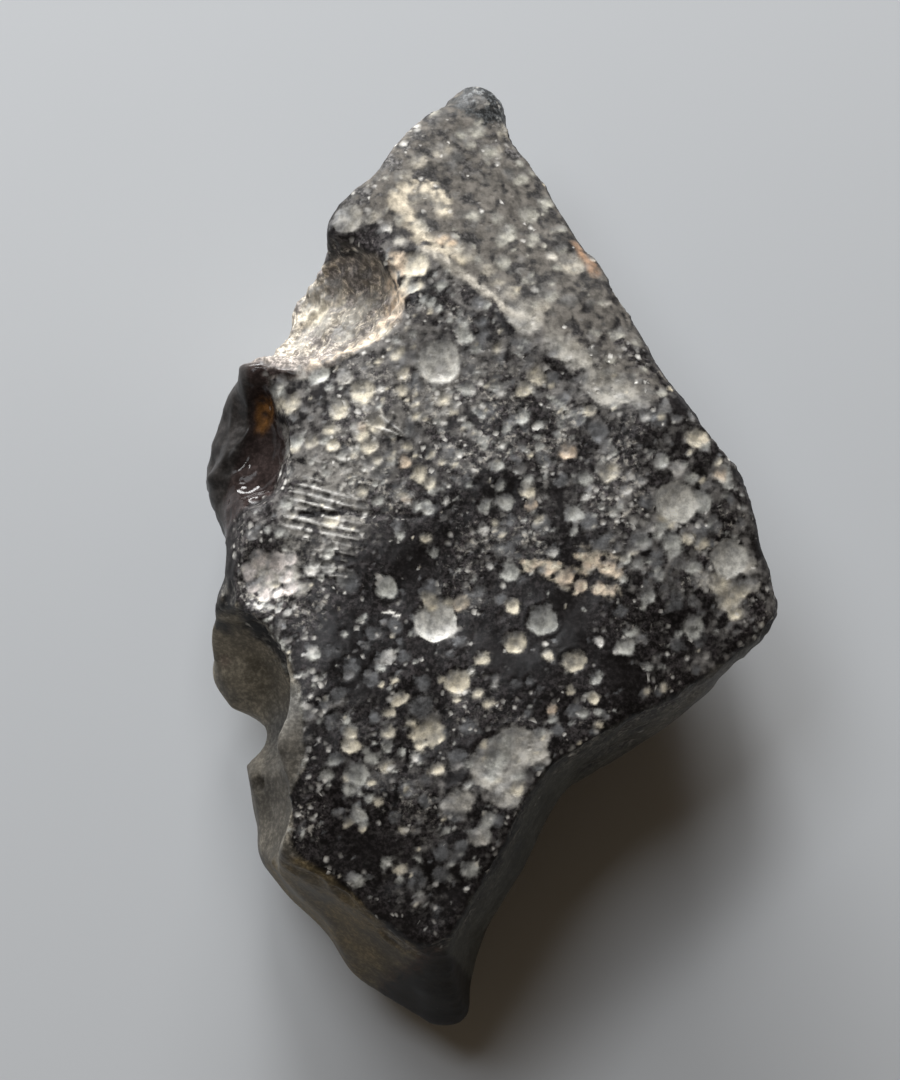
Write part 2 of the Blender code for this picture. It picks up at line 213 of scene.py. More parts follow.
# Among the white pits, the cluster near x -9, y -3.6 and the row along the left rim are painted glints; the
# rest are white dust.
WHITE_PITS_AND_GLINTS = (
    (-4.4, 12.6, 0.25), (-2.2, 6.3, 0.38), (-1.9, 4.6, 0.17), (-1.5, 4.9, 0.19), (-1.2, 4.3, 0.19),
    (5.7, 2.0, 0.17), (6.3, 1.7, 0.19), (2.6, -1.3, 0.21), (-0.3, -0.4, 0.27), (4.4, -5.0, 0.23),
    (-1.9, -11.8, 0.23), (-1.7, -4.5, 0.37), (-2.3, -4.7, 0.5), (-4.3, -5.7, 0.33), (-6.5, 0.2, 0.17),
    (-6.9, -2.9, 0.16), (-9.6, -3.5, 0.17), (-7.7, -7.7, 0.16), (-7.4, -2.0, 0.33), (-8.8, -3.7, 0.17),
    (-8.4, -3.9, 0.19), (-8.1, -3.7, 0.17), (-9.1, -4.0, 0.14), (-7.3, -5.4, 0.23), (2.6, 11.7, 0.25),
    (7.8, 2.3, 0.35), (0.1, -6.8, 0.19), (-3.2, -9.9, 0.21), (0.4, 5.4, 0.21), (5.6, 1.3, 0.25),
    (6.4, 4.5, 0.23), (4.9, 9.6, 0.17), (4.0, 1.1, 0.23), (4.3, 11.7, 0.15), (-4.1, -10.3, 0.16),
    (-0.6, -12.9, 0.21), (-3.5, -12.8, 0.14), (3.9, -7.3, 0.16), (-0.1, -1.9, 0.17), (-4.6, 5.6, 0.19),
    (-2.5, 4.7, 0.15), (-0.9, -5.2, 0.12), (-2.9, -5.9, 0.12), (-9.0, 4.1, 0.13), (5.2, -5.4, 0.21),
    (-2.3, -15.0, 0.14), (-1.0, -15.1, 0.12), (-1.7, -15.7, 0.1), (-8.0, -6.6, 0.14), (-1.9, 0.8, 0.25),
    (-0.4, -0.3, 0.23), (-7.1, -11.2, 0.18), (6.7, -0.2, 0.23), (0.3, -11.1, 0.29), (-7.7, -5.7, 0.13),
    (-7.5, -6.3, 0.12), (-7.2, -6.6, 0.14), (-7.4, -7.4, 0.14), (-7.6, -7.8, 0.16), (-7.3, -8.0, 0.12),
    (-7.7, -8.7, 0.13), (-7.1, -9.3, 0.14), (-7.5, -9.6, 0.13), (-7.9, -10.3, 0.15), (-7.7, -9.9, 0.16),
    (-7.5, -10.7, 0.12), (-9.8, -3.3, 0.15), (-9.2, -3.5, 0.19),
)
PEACH_PITS = (
    (3.2, 3.0, 0.37), (-2.1, 12.1, 0.34), (-1.7, 11.9, 0.25), (-4.0, 9.7, 0.29), (-4.3, 10.3, 0.25),
    (3.0, -2.4, 0.38), (3.7, -2.7, 0.31), (4.4, -2.8, 0.27), (4.9, -2.8, 0.23), (4.1, -1.7, 0.35),
    (4.8, -1.9, 0.32), (5.3, -2.1, 0.26), (1.8, -1.8, 0.2), (2.4, -2.1, 0.26), (2.5, -7.8, 0.27),
    (-3.6, 2.4, 0.25), (-3.5, 0.8, 0.17), (-5.4, 3.9, 0.21), (1.6, 0.7, 0.25), (8.8, 3.6, 0.25),
    (-4.5, 8.8, 0.29), (-1.3, -3.5, 0.29), (-4.7, 8.0, 0.25), (-4.2, 9.3, 0.29), (9.6, 2.2, 0.26),
)
PINK_PITS = (
    (-10.1, -1.8, 0.33), (-9.6, -1.3, 0.36), (-8.9, -1.6, 0.42), (-8.3, -1.5, 0.3), (-8.5, -2.2, 0.35),
    (-9.9, -2.5, 0.3), (-9.4, -2.8, 0.3), (-8.3, -2.8, 0.3), (-8.8, -2.9, 0.25), (-9.2, -2.2, 0.22),
)
GREY_PITS = (
    (2.1, -4.2, 0.66), (1.6, 13.6, 0.47), (-1.0, 5.5, 0.33), (1.3, 4.4, 0.4), (-0.5, 3.4, 0.29),
    (0.3, 2.3, 0.29), (2.0, 3.1, 0.21), (0.4, 3.2, 0.29), (7.1, 2.6, 0.29), (8.3, 2.0, 0.27),
    (9.7, 2.2, 0.36), (8.7, 1.1, 0.46), (7.5, -0.8, 0.46), (8.4, -1.7, 0.33), (8.4, -4.2, 0.46),
    (5.8, -4.5, 0.33), (5.6, -5.2, 0.41), (6.5, -5.9, 0.23), (7.0, -6.0, 0.19), (-1.2, 7.8, 0.42),
    (-1.1, 8.4, 0.25), (-2.5, 9.2, 0.21), (-2.2, 9.0, 0.23), (-2.8, 9.3, 0.23), (-3.3, 9.9, 0.25),
    (-2.1, 10.0, 0.25), (-1.3, 8.8, 0.21), (-0.2, 9.1, 0.21), (-0.8, 13.3, 0.21), (2.4, 14.3, 0.34),
    (1.3, 15.3, 0.34), (1.8, 15.8, 0.21), (-0.1, 16.5, 0.34), (-0.6, 17.5, 0.34), (-1.2, 17.3, 0.26),
    (0.7, 12.6, 0.42), (0.4, 12.2, 0.3), (3.0, 13.1, 0.25), (0.5, 11.2, 0.34), (-9.0, 5.8, 0.34),
    (-7.2, 6.4, 0.46), (-8.2, 3.5, 0.33), (-8.5, 0.8, 0.29), (-8.7, -0.4, 0.25), (-9.3, -0.2, 0.21),
    (0.8, -2.2, 0.37), (0.6, 0.8, 0.41), (3.4, 0.3, 0.37), (3.7, 0.2, 0.21), (3.4, -0.4, 0.21),
    (-5.5, -10.6, 0.49), (-4.9, -9.9, 0.33), (-5.4, -11.3, 0.21), (-5.5, -12.2, 0.37), (-5.3, -12.6, 0.21),
    (0.2, -9.9, 0.53), (0.0, -10.6, 0.33), (1.1, -10.6, 0.37), (0.6, -9.2, 0.37), (-0.2, -12.5, 0.37),
    (-0.9, -14.4, 0.41), (-4.3, -14.1, 0.33), (-3.0, -14.0, 0.21), (-5.5, -14.9, 0.37), (4.3, -6.5, 0.33),
    (2.5, -8.2, 0.25), (4.3, -8.0, 0.21), (6.1, 7.9, 0.25), (6.3, 6.6, 0.21), (5.0, 7.0, 0.25),
    (5.3, 8.2, 0.25), (3.9, 1.8, 0.33), (2.8, 4.1, 0.21), (2.7, 3.7, 0.25), (2.0, 4.0, 0.21),
    (5.1, 2.9, 0.21), (1.7, 10.7, 0.17), (2.8, 11.1, 0.19), (-2.7, 0.4, 0.25), (-3.1, 0.6, 0.25),
    (-4.3, -2.8, 0.5), (-2.4, -1.3, 0.25), (-1.9, -12.9, 0.21), (-0.9, -11.0, 0.21), (-1.0, -10.2, 0.21),
    (-7.1, -2.4, 0.17), (-6.0, -4.8, 0.21), (-7.1, -4.4, 0.16), (-5.2, -9.6, 0.21), (-6.7, -11.1, 0.12),
    (-7.0, -12.6, 0.14), (-7.7, -13.0, 0.16), (-6.2, -3.8, 0.12), (5.6, -1.6, 0.21), (5.5, -2.4, 0.21),
    (6.5, -3.1, 0.33), (7.0, -2.2, 0.25), (6.3, -3.5, 0.21), (-8.1, -14.1, 0.17), (-7.9, -14.3, 0.15),
    (2.0, -8.8, 0.21), (-4.6, 0.9, 0.25), (-6.9, 3.5, 0.25), (-5.6, 3.0, 0.25),
)
PALE_PITS = (
    (7.7, 0.9, 0.86), (9.9, -1.3, 0.82), (-2.2, 6.7, 0.88), (-2.3, -4.2, 0.88),
)
DULL_PITS = (
    (-5.9, -2.5, 0.54), (-5.0, -4.7, 0.37), (-4.0, -4.4, 0.37), (-1.4, -5.1, 0.37), (-2.9, -6.8, 0.37),
    (-2.9, -7.8, 0.53), (2.1, -0.2, 0.37), (0.8, 0.1, 0.29), (0.4, -0.4, 0.29), (4.5, -1.0, 0.41),
    (3.7, -1.2, 0.25), (-2.1, -14.6, 0.37), (-3.8, 1.2, 0.41), (-4.6, 2.1, 0.5), (-3.4, 3.8, 0.37),
    (-1.7, 2.7, 0.42), (-1.0, 1.7, 0.37), (-2.5, -2.9, 0.5), (-0.9, -3.3, 0.33), (0.6, -1.2, 0.37),
    (-3.8, -5.1, 0.25), (-6.6, -5.5, 0.37), (-5.8, -6.1, 0.41), (-6.3, -7.2, 0.37), (-5.0, -6.7, 0.37),
    (-3.6, -5.7, 0.29), (-2.1, -8.9, 0.37), (-1.0, -8.6, 0.37), (-1.5, -9.8, 0.33), (-3.5, -11.2, 0.37),
    (-2.7, -11.7, 0.33), (-1.5, -12.2, 0.37), (-4.0, -12.3, 0.33), (-2.1, -13.7, 0.37), (-1.3, -13.5, 0.37),
    (-3.1, -14.8, 0.41), (0.3, -12.5, 0.33), (5.3, -3.7, 0.37), (6.2, -0.8, 0.41), (6.8, -1.4, 0.37),
    (6.4, 0.9, 0.37), (4.1, 0.0, 0.37), (2.9, 1.7, 0.33), (2.2, 2.6, 0.33), (0.8, 4.2, 0.33),
    (0.0, 4.7, 0.37), (-0.9, 6.4, 0.37), (-3.8, 6.8, 0.38), (-3.2, 5.7, 0.33), (0.4, 6.8, 0.33),
    (-0.5, 7.4, 0.33), (1.4, 7.4, 0.33), (2.9, 5.1, 0.37), (3.7, 4.3, 0.37), (4.5, 3.9, 0.37),
    (3.3, 9.6, 0.38), (4.2, 7.3, 0.33), (2.3, 10.0, 0.34), (6.2, 5.1, 0.42), (7.0, 4.3, 0.38),
    (5.4, 6.1, 0.33), (7.6, -3.2, 0.42), (8.7, -4.7, 0.33), (7.8, -5.0, 0.33), (2.8, -8.7, 0.33),
    (3.4, -7.9, 0.33), (-6.6, -8.4, 0.33), (-6.0, -8.8, 0.25), (-4.8, -8.2, 0.29), (-6.4, -10.0, 0.33),
    (-1.7, -5.7, 0.25), (0.4, -3.3, 0.29), (4.9, -0.6, 0.25), (8.7, -0.2, 0.37), (9.3, 0.0, 0.33),
    (10.4, -2.6, 0.38),
)
DUST_PATCHES = (
    (-6.0, 13.2, 0.7), (1.4, 8.8, 0.84), (2.1, 9.4, 0.5), (3.1, 7.4, 0.67), (3.7, 6.9, 0.5),
    (4.9, 5.7, 0.88), (4.2, 6.0, 0.5), (5.6, 5.4, 0.42), (3.4, 11.4, 0.59), (0.2, -10.2, 1.15),
    (1.0, -9.3, 0.82), (1.7, -9.6, 0.62), (2.0, -9.0, 0.49), (0.6, -11.4, 0.66), (9.8, -2.9, 0.6),
    (8.9, -2.2, 0.45), (10.7, -1.5, 0.46), (10.8, -2.3, 0.35), (-2.8, 14.3, 0.42), (-3.6, 14.5, 0.38),
    (-3.3, 13.9, 0.34), (-2.2, 13.8, 0.38), (-2.0, 13.5, 0.34), (-2.5, 14.2, 0.34), (-0.9, 11.4, 0.38),
    (-0.2, 10.8, 0.38), (0.3, 10.3, 0.38), (-1.5, 11.7, 0.38), (0.8, 9.8, 0.42), (-9.1, -1.9, 0.67),
    (-9.7, -1.4, 0.5), (-8.3, -2.2, 0.5), (-7.9, -2.9, 0.37), (-9.5, -2.4, 0.42), (-6.8, 10.9, 0.6),
    (-5.9, 9.8, 0.77), (-7.3, 9.4, 0.68), (-6.2, 8.7, 0.59), (-8.1, 8.6, 0.43), (-5.1, 10.0, 0.51),
    (-7.7, 10.7, 0.6), (-6.7, 7.2, 0.42), (-1.3, -11.6, 0.57), (-0.5, -13.1, 0.49), (-8.0, 6.5, 0.38),
    (-6.1, 6.2, 0.42), (-3.8, 12.0, 0.29), (-4.9, 13.2, 0.34), (-3.0, 15.8, 0.42), (-3.6, 15.1, 0.34),
    (-2.1, 16.4, 0.43), (-4.0, 14.3, 0.25), (0.7, 17.7, 0.39), (0.2, 16.6, 0.38),
)

# Plan outlines of the stone's faces.
WEATHERED_TOP = (
    (12.4, -3.3), (11.4, -4.3), (10.4, -5.2), (9.3, -5.9), (8.3, -6.7), (7.1, -7.5), (5.4, -8.4),
    (4.1, -9.2), (2.9, -9.9), (2.3, -10.4), (1.7, -11.3), (1.0, -12.7), (0.3, -14.1), (-0.4, -15.1),
    (-1.2, -16.3), (-1.9, -17.4), (-2.5, -17.5), (-3.3, -17.4), (-3.9, -17.1), (-4.7, -16.4), (-5.3, -15.8),
    (-6.0, -15.1), (-7.0, -14.5), (-7.8, -14.1), (-8.3, -13.2), (-8.3, -11.6), (-7.8, -10.4), (-7.7, -9.5),
    (-7.8, -7.8), (-8.0, -7.0), (-8.5, -5.7), (-9.3, -4.4), (-10.3, -3.6), (-10.9, -2.5), (-10.7, -1.0),
    (-11.0, 0.2), (-10.2, 1.1), (-9.1, 1.5), (-8.5, 3.8), (-9.1, 4.9), (-9.4, 6.5), (-8.2, 6.2),
    (-7.1, 6.5), (-6.2, 6.9), (-4.9, 7.7), (-3.9, 8.3), (-3.7, 9.1), (-4.1, 10.2), (-4.9, 11.5),
    (-6.6, 11.9), (-9.0, 12.2), (-8.0, 22.0), (14.0, 22.0), (14.0, -3.3),
)
UPPER_RIGHT_FACE = (
    (-6.0, 13.4), (-2.9, 11.5), (-0.4, 9.8), (1.2, 8.8), (2.1, 7.9), (4.6, 5.8), (6.6, 4.9), (14.0, 5.0),
    (14.0, 22.0), (-9.0, 22.0), (-9.0, 14.5),
)
LEFT_BREAKS = ((-15.0, -14.2), (-7.9, -14.2), (-5.0, -8.0), (-8.0, -3.5), (-15.0, -2.6))
LOWER_LEFT_BREAK = ((-15.0, -13.9), (-6.0, -13.9), (-2.2, -18.4), (-4.6, -20.8), (-15.0, -20.8))
TIP_BREAK = ((-2.4, -17.5), (0.8, -18.2), (0.8, -21.0), (-6.0, -21.0), (-4.7, -18.4))
HOLLOW_BREAK = ((-3.0, 6.0), (-3.0, 12.4), (-12.0, 12.4), (-12.0, 7.0), (-9.6, 6.9), (-9.0, 5.8))
GLOSSY_CORNER = ((-13.0, -0.2), (-10.9, -0.2), (-8.0, 1.2), (-8.0, 6.6), (-9.6, 7.1), (-13.0, 7.6))
ORANGE_STAIN = ((-9.9, 4.4), (-9.5, 4.2), (-9.0, 4.8), (-9.1, 5.6), (-9.6, 5.9), (-10.0, 5.6))
# The hollow's flank, where a grey painted paler stands in for light in its shade.
GREY_FLANK = (
    (-7.6, 13.4), (-5.8, 12.8), (-5.0, 12.3), (-4.5, 11.0), (-4.5, 10.3), (-6.0, 10.4), (-6.8, 11.0),
    (-7.6, 11.6),
)
# The blunt knob at the top: x, y and radius.
DARK_KNOB = (-0.4, 18.9, 1.3)
# A hole, painted dark as the shade inside it, and a pale spot on the left lobes: x, y, z and radius.
LOBE_HOLE = (-9.8, -9.9, 6.2, 0.42)
PALE_SPOT = (-11.3, -4.6, 6.3, 0.45)
# The lower left rim is pushed out: where, how far along x and y, in how wide a strip, and at which heights.
LOWER_LEFT_RIM = (
    (-8.0, -13.4), (-7.6, -13.6), (-6.7, -14.1), (-5.9, -14.6), (-4.9, -15.3), (-3.8, -16.0), (-2.9, -16.8),
)
RIM_PUSH = (-0.36, -0.46)
RIM_PUSH_WIDTH = 1.5
RIM_PUSH_HEIGHTS = (7.5, 11.0)

# Lines on the stone, in plan.
PALE_RIDGE = ((-2.8, 11.6), (-1.9, 11.0), (-0.9, 10.3), (-0.1, 9.6), (0.6, 9.0), (1.3, 8.7))
LOWER_RIDGE = ((1.3, 8.7), (3.1, 7.5), (5.0, 5.9), (6.2, 5.3))
CRUMB_RIDGE = ((-3.8, 13.7), (-3.3, 12.8), (-2.8, 12.0), (-2.2, 11.7), (-1.5, 11.3))
CREAM_ARC = ((-3.9, 13.8), (-3.6, 14.4), (-3.0, 14.7), (-2.4, 14.5), (-2.0, 13.9), (-1.9, 13.4))
HOLLOW_EDGE = ((-3.9, 11.2), (-3.9, 9.5), (-4.2, 8.6), (-5.1, 8.0), (-6.4, 7.3), (-7.6, 6.9))
PEACH_SMEAR = ((1.7, -1.8), (2.3, -2.1), (2.9, -2.4), (3.7, -2.7), (4.3, -2.8), (4.9, -2.7))
PEACH_SMEAR_UPPER = ((3.8, -1.6), (4.6, -1.9), (5.2, -2.0))
GROOVE = ((-7.9, 0.3), (-6.3, 0.3), (-4.6, 0.2), (-2.9, 0.1))
SQUIGGLE = ((-4.4, -3.9), (-4.1, -3.8), (-3.8, -4.0))
RUST_MARK = ((3.6, 12.4), (4.1, 11.6), (4.4, 11.0))
SCRATCH = ((2.3, 5.3), (2.9, 4.9), (3.6, 4.4))
CORNER_RIDGE = ((-10.0, 7.0), (-10.0, 5.6), (-10.2, 4.6), (-10.8, 3.7), (-11.5, 2.7))
BOTTOM_RIDGE = ((-2.3, -17.5), (-3.4, -17.9), (-4.5, -18.3))
# The left rim, where grey dots are painted as glints.
LEFT_RIM_GLINTS = (
    (-9.3, -4.1), (-8.6, -5.4), (-8.1, -6.7), (-7.9, -7.6), (-7.8, -9.2), (-7.8, -10.0), (-8.3, -11.2),
    (-8.4, -12.8),
)

# Half the width of the lines that are raised, sunk or coloured.
PALE_RIDGE_HALF_WIDTH = 0.4
GROOVE_HALF_WIDTH = 0.25
CORNER_RIDGE_HALF_WIDTH = 0.7
BOTTOM_RIDGE_HALF_WIDTH = 0.6
# Lines of broken crumbs, those on the left rim painted as glints: half their width, how fully they cover and
# their colour.
CRUMBLED_LINES = (
    (LOWER_RIDGE, 0.8, 0.35, HAZE_DUST),
    (CRUMB_RIDGE, 0.5, 0.6, ARC_DUST),
    (CREAM_ARC, 0.5, 0.8, ARC_DUST),
    (HOLLOW_EDGE, 0.5, 0.85, PEACH_DUST),
    # Along the bottom ridge the peach crumbs are partly painted glints.
    (BOTTOM_RIDGE, 0.2, 0.4, PEACH_DUST),
    # Painted glints along the left rim.
    (LEFT_RIM_GLINTS, 0.3, 0.5, GREY_DUST),
)
# Noise read through this runs in thin streaks along the peach smear.
SMEAR_STRETCH = np.array(((0.8, 1.1, 0.0), (-0.3, 3.6, 0.0), (0.0, 0.0, 1.0)))
SMEAR_HALF_WIDTH = 0.75
SMEAR_COVER = 0.85

# Round areas where small pits lie thick or thin: x, y, radius and the change in the share of pits kept.
PIT_AREAS = (
    (3.0, -5.0, 3.8, -0.3), (-0.5, -5.0, 3.0, -0.1), (-4.8, -4.6, 3.0, -0.12), (-5.5, -15.0, 2.4, -0.3),
    (-2.5, -17.0, 2.0, -0.35), (-6.5, -12.0, 1.6, -0.3), (-0.5, -1.8, 2.0, -0.1), (8.0, -5.5, 2.4, -0.25),
    (7.5, 4.0, 2.5, -0.2), (-3.0, 4.5, 4.0, 0.3), (-3.5, 9.0, 3.0, 0.3), (-7.5, 2.5, 2.5, 0.15),
    (1.5, 2.5, 3.5, 0.2), (-5.0, -11.0, 2.5, 0.15), (-1.0, -13.0, 2.0, 0.15),
)
# Round areas of thin grey film: x, y, radius and the change in how much of the stone it hides.
FILM_AREAS = (
    (-1.5, 15.5, 4.5, 0.5), (2.0, 12.0, 4.5, 0.4), (5.0, 7.5, 3.5, 0.35), (-5.5, 9.5, 3.0, 0.35),
    (-4.5, 4.6, 4.5, 0.33), (9.3, -5.7, 0.9, 0.35), (10.9, -4.3, 1.0, 0.35), (11.6, -2.6, 0.9, 0.2),
    (-0.4, 18.9, 1.2, -0.4), (-1.0, 8.0, 3.2, 0.22), (-1.5, 1.5, 2.6, -0.12), (-3.0, -14.5, 1.6, 0.22),
    (-6.5, -4.2, 2.8, -0.12), (-7.5, 1.5, 3.0, 0.2), (1.5, 4.5, 5.0, 0.06), (8.5, 0.0, 4.0, 0.26),
    (0.3, -10.2, 1.9, 0.3), (-3.0, -11.5, 2.5, 0.08), (3.0, -5.5, 3.5, -0.14), (-4.0, -4.0, 3.5, -0.12),
    (-5.8, -13.5, 3.0, -0.08), (-6.6, -12.1, 1.3, -0.1),
)
# Round areas where more or fewer of the small pits hold bright dust.
BRIGHT_AREAS = (
    (-4.0, 5.0, 5.0, 0.14), (-5.5, 9.5, 3.0, 0.12), (3.0, 11.0, 6.0, -0.08), (6.0, -5.0, 4.0, -0.05),
    (-3.2, 16.0, 3.2, -0.35),
)
# Round areas where fine specks lie thick or thin.
SPECK_AREAS = (
    (-4.0, 5.0, 5.0, 0.35), (1.5, 3.0, 5.0, 0.2), (-5.5, 9.5, 3.0, 0.3), (0.5, 13.0, 5.0, -0.22),
    (3.0, -5.0, 3.5, -0.2), (-3.5, -4.0, 3.5, -0.1), (-5.5, -14.5, 3.0, -0.15), (4.0, 8.0, 4.0, -0.22),
)
# An area's change is full within the first share of its radius and gone beyond the second.
AREA_CORE = 0.5
AREA_EDGE = 1.3

# Lights: name, direction and height in degrees, distance and size in metres, strength and colour.
WINDOWS = (
    ("low_window", 105, 12, 0.3, (0.22, 0.06), 1.46, (1.0, 1.0, 1.0)),
    ("middle_window", 92, 50, 0.3, (0.07, 0.07), 0.194, (1.0, 1.0, 1.0)),
    ("high_window", 135, 66, 0.3, (0.12, 0.12), 0.231, (0.97, 1.0, 1.04)),
)
LIT_PLACE = (0.0, 0.0, 6.0)
ROOM_COLOUR = (1.0, 0.76, 0.52, 1.0)
ROOM_STRENGTH = 0.075
TABLE_HALF_WIDTH = 600.0
PAPER_COOL = (0.575, 0.6, 0.625, 1.0)
PAPER_PALE = (0.61, 0.635, 0.66, 1.0)
PAPER_ROUGH = 0.85
CAMERA_TARGET = (-1.7, 0.5, 7.0)
CAMERA_ELEVATION = 78
CAMERA_DISTANCE = 200.0
CAMERA_LENS = 156
CAMERA_SENSOR = 36
CAMERA_NEAREST = 1.0


def ramp(values, low, high):
    """Eases from 0 at low to 1 at high."""
    share = np.clip((values - low) / (high - low), 0, 1)
    return share * share * (3 - 2 * share)


def depth_inside(points, corners):
    """How far each point lies inside a closed plan outline, and below zero outside it."""
    x, y = points[:, 0], points[:, 1]
    nearest = np.full(len(x), np.inf)
    inside = np.zeros(len(x), bool)
    for (ax, ay), (bx, by) in zip(corners, corners[1:] + corners[:1]):
        along = ((x - ax) * (bx - ax) + (y - ay) * (by - ay)) / ((bx - ax) ** 2 + (by - ay) ** 2)
        along = np.clip(along, 0, 1)
        nearest = np.minimum(nearest, np.hypot(x - ax - along * (bx - ax), y - ay - along * (by - ay)))
        if ay != by:
            crossing = ax + (y - ay) / (by - ay) * (bx - ax)
            inside ^= ((ay > y) != (by > y)) & (x < crossing)
    return np.where(inside, nearest, -nearest)


def off_line(points, corners):
    """How far each point lies, in plan, from a line of several straight lengths."""
    nearest = np.full(len(points), np.inf)
    for start, end in zip(np.array(corners), np.array(corners)[1:]):
        length = end - start
        along = np.clip((points[:, :2] - start) @ length / (length @ length), 0, 1)
        nearest = np.minimum(nearest, np.hypot(*(points[:, :2] - start - along[:, None] * length).T))
    return nearest


def over_line(points, corners, half_width):
    """1 along a line, easing to 0 at half its width."""
    return ramp(-off_line(points, corners), -half_width, 0.0)


def over_areas(points, areas, base):
    """A value that round areas raise or lower."""
    value = np.full(len(points), base)
    for x, y, radius, change in areas:
        away = np.hypot(points[:, 0] - x, points[:, 1] - y)
        value += change * ramp(away, radius * AREA_EDGE, radius * AREA_CORE)
    return value


def near_place(points, place):
    """1 at a place on the skin, easing to 0 at its radius."""
    return ramp(-np.linalg.norm(points - place[:3], axis=1), -place[3], 0.0)


def noise_heights(points, length):
    """Noise between about -1 and 1 at each point, with swells of the given length."""
    return np.array([noise.noise(Vector(point) / length) for point in points])


def placed(name, data):
    """A new object in the scene."""
    made = bpy.data.objects.new(name, data)
    bpy.context.scene.collection.objects.link(made)
    return made


def merged_copy(node, name):
    """A new piece with a solid's mesh, its loose triangles joined."""
    shape = bmesh.new()
    shape.from_mesh(node.data)
    bmesh.ops.remove_doubles(shape, verts=shape.verts, dist=MERGE_WITHIN * MM)
    mesh = bpy.data.meshes.new(name)
    shape.to_mesh(mesh)
    shape.free()
    return placed(name, mesh)


def add_easing(piece, passes):
    """A modifier that smooths the piece, not yet put into its mesh."""
    ease = piece.modifiers.new("ease", "SMOOTH")
    ease.factor = EASE_STRENGTH
    ease.iterations = passes
    return ease


def settle(piece):
    """Puts what the modifiers made into the piece's own mesh."""
    bpy.context.view_layer.update()
    made = bpy.data.meshes.new_from_object(piece.evaluated_get(bpy.context.evaluated_depsgraph_get()))
    piece.modifiers.clear()
    piece.data = made


def points_and_normals(mesh):
    """The mesh's points in millimetres, and the way that the skin faces at each."""
    points = np.empty(len(mesh.vertices) * 3)
    mesh.vertices.foreach_get("co", points)
    normals = np.empty(len(mesh.vertices) * 3)
    mesh.vertex_normals.foreach_get("vector", normals)
    return points.reshape(-1, 3) / MM, normals.reshape(-1, 3)


def even_out(piece):
    """Remakes the piece with even faces, and eases it."""
    remesh = piece.modifiers.new("even", "REMESH")
    remesh.mode = "VOXEL"
    remesh.voxel_size = SKIN_VOXEL * MM
    add_easing(piece, EASE_PASSES)
    settle(piece)


def ease_upper_face(piece):
    """Wears down the upper face's old pits, away from its rims, so that finer ones can be sunk there."""
    points, normals = points_and_normals(piece.data)
    weights = ramp(depth_inside(points, WEATHERED_TOP), 0.3, 0.9) * ramp(normals[:, 2], 0.5, 0.75)
    group = piece.vertex_groups.new(name="upper_face")
    for level in range(1, UPPER_EASE_LEVELS + 1):
        members = np.flatnonzero(np.round(weights * UPPER_EASE_LEVELS) == level)
        group.add(members.tolist(), level / UPPER_EASE_LEVELS, "REPLACE")
    add_easing(piece, UPPER_EASE_PASSES).vertex_group = group.name
    settle(piece)
    piece.vertex_groups.clear()


def upper_side(centres, normals):
    """Which faces look up and belong to the upper face, the hollow or the glossy corner."""
    seen = depth_inside(centres, WEATHERED_TOP) + FINER_PAST_RIM
    for outline in (HOLLOW_BREAK, GLOSSY_CORNER):
        seen = np.maximum(seen, depth_inside(centres, outline))
    return (seen > 0) & (normals[:, 2] > FINER_FACING)


def ribbed(centres, normals):
    """Which faces look up and carry ribs."""
    return (normals[:, 2] > FINER_FACING) & (sum(rib_share(centres, *fan[:3]) for fan in RIBS) > 0)


def refine(piece, wanted):
    """Splits each wanted face in four."""
    shape = bmesh.new()
    shape.from_mesh(piece.data)
    centres = np.array([face.calc_center_median() for face in shape.faces]) / MM
    picked = wanted(centres, np.array([face.normal for face in shape.faces]))
    edges = {edge for face, take in zip(shape.faces, picked) if take for edge in face.edges}
    edges = sorted(edges, key=lambda edge: edge.index)
    bmesh.ops.subdivide_edges(shape, edges=edges, cuts=1, use_grid_fill=True)
    bmesh.ops.triangulate(shape, faces=[face for face in shape.faces if len(face.verts) > 4])
    shape.to_mesh(piece.data)
    shape.free()
    add_easing(piece, REFINED_EASE_PASSES)
    settle(piece)


def bent_plan(points):
    """The points' plan places, bent a little by noise, so that pits aren't quite round."""
    plan = points[:, :2].copy()
    for length, amount in WARPS:
        plan += amount * np.array([noise.noise_vector(Vector(point) / length)[:2] for point in points])
    return plan


def straying_plan(points, plan):
    """Plan places that stray more the lower they lie, so that edges don't run straight down."""
    stray = LOW_STRAY * ramp(-points[:, 2], -STRAY_STARTS, -STRAY_FULL)
    ways = np.array([noise.noise_vector(Vector(point) / STRAY_LENGTH)[:2] for point in points])
    return plan + stray[:, None] * ways


def near_pits(points, pits):
    """For each pit: the points in its reach, how far out they lie as a share of its radius, and which way."""
    order = np.argsort(points[:, 0])
    sorted_x = points[order, 0]
    for x, y, radius in pits:
        first, last = np.searchsorted(sorted_x, (x - radius * PIT_REACH, x + radius * PIT_REACH))
        near = order[first:last]
        out = (points[near, :2] - (x, y)) / radius
        away = np.hypot(out[:, 0], out[:, 1])
        close = away < PIT_REACH
        yield near[close], away[close], out[close]


def sink_pits(points, heights, pits, depth_ratio):
    """Sinks round bowls with a slight lip. Where bowls meet, the deeper one shows."""
    for (near, away, _), (_, _, radius) in zip(near_pits(points, pits), pits):
        bowl = -depth_ratio * radius * np.clip(1 - away ** 2, 0, 1)
        lip = LIP_HEIGHT * radius * np.exp(-((away - LIP_PLACE) / LIP_WIDTH) ** 2)
        heights[near] = np.minimum(heights[near], bowl) + lip


def scatter(seed, count, radii, low, high):
    """Seeded pits thrown over a box, most of them small."""
    random = np.random.default_rng(seed)
    x = random.uniform(low[0], high[0], count)
    y = random.uniform(low[1], high[1], count)
    radius = radii[0] + (radii[1] - radii[0]) * random.uniform(0, 1, count) ** 3
    return np.column_stack((x, y, radius))


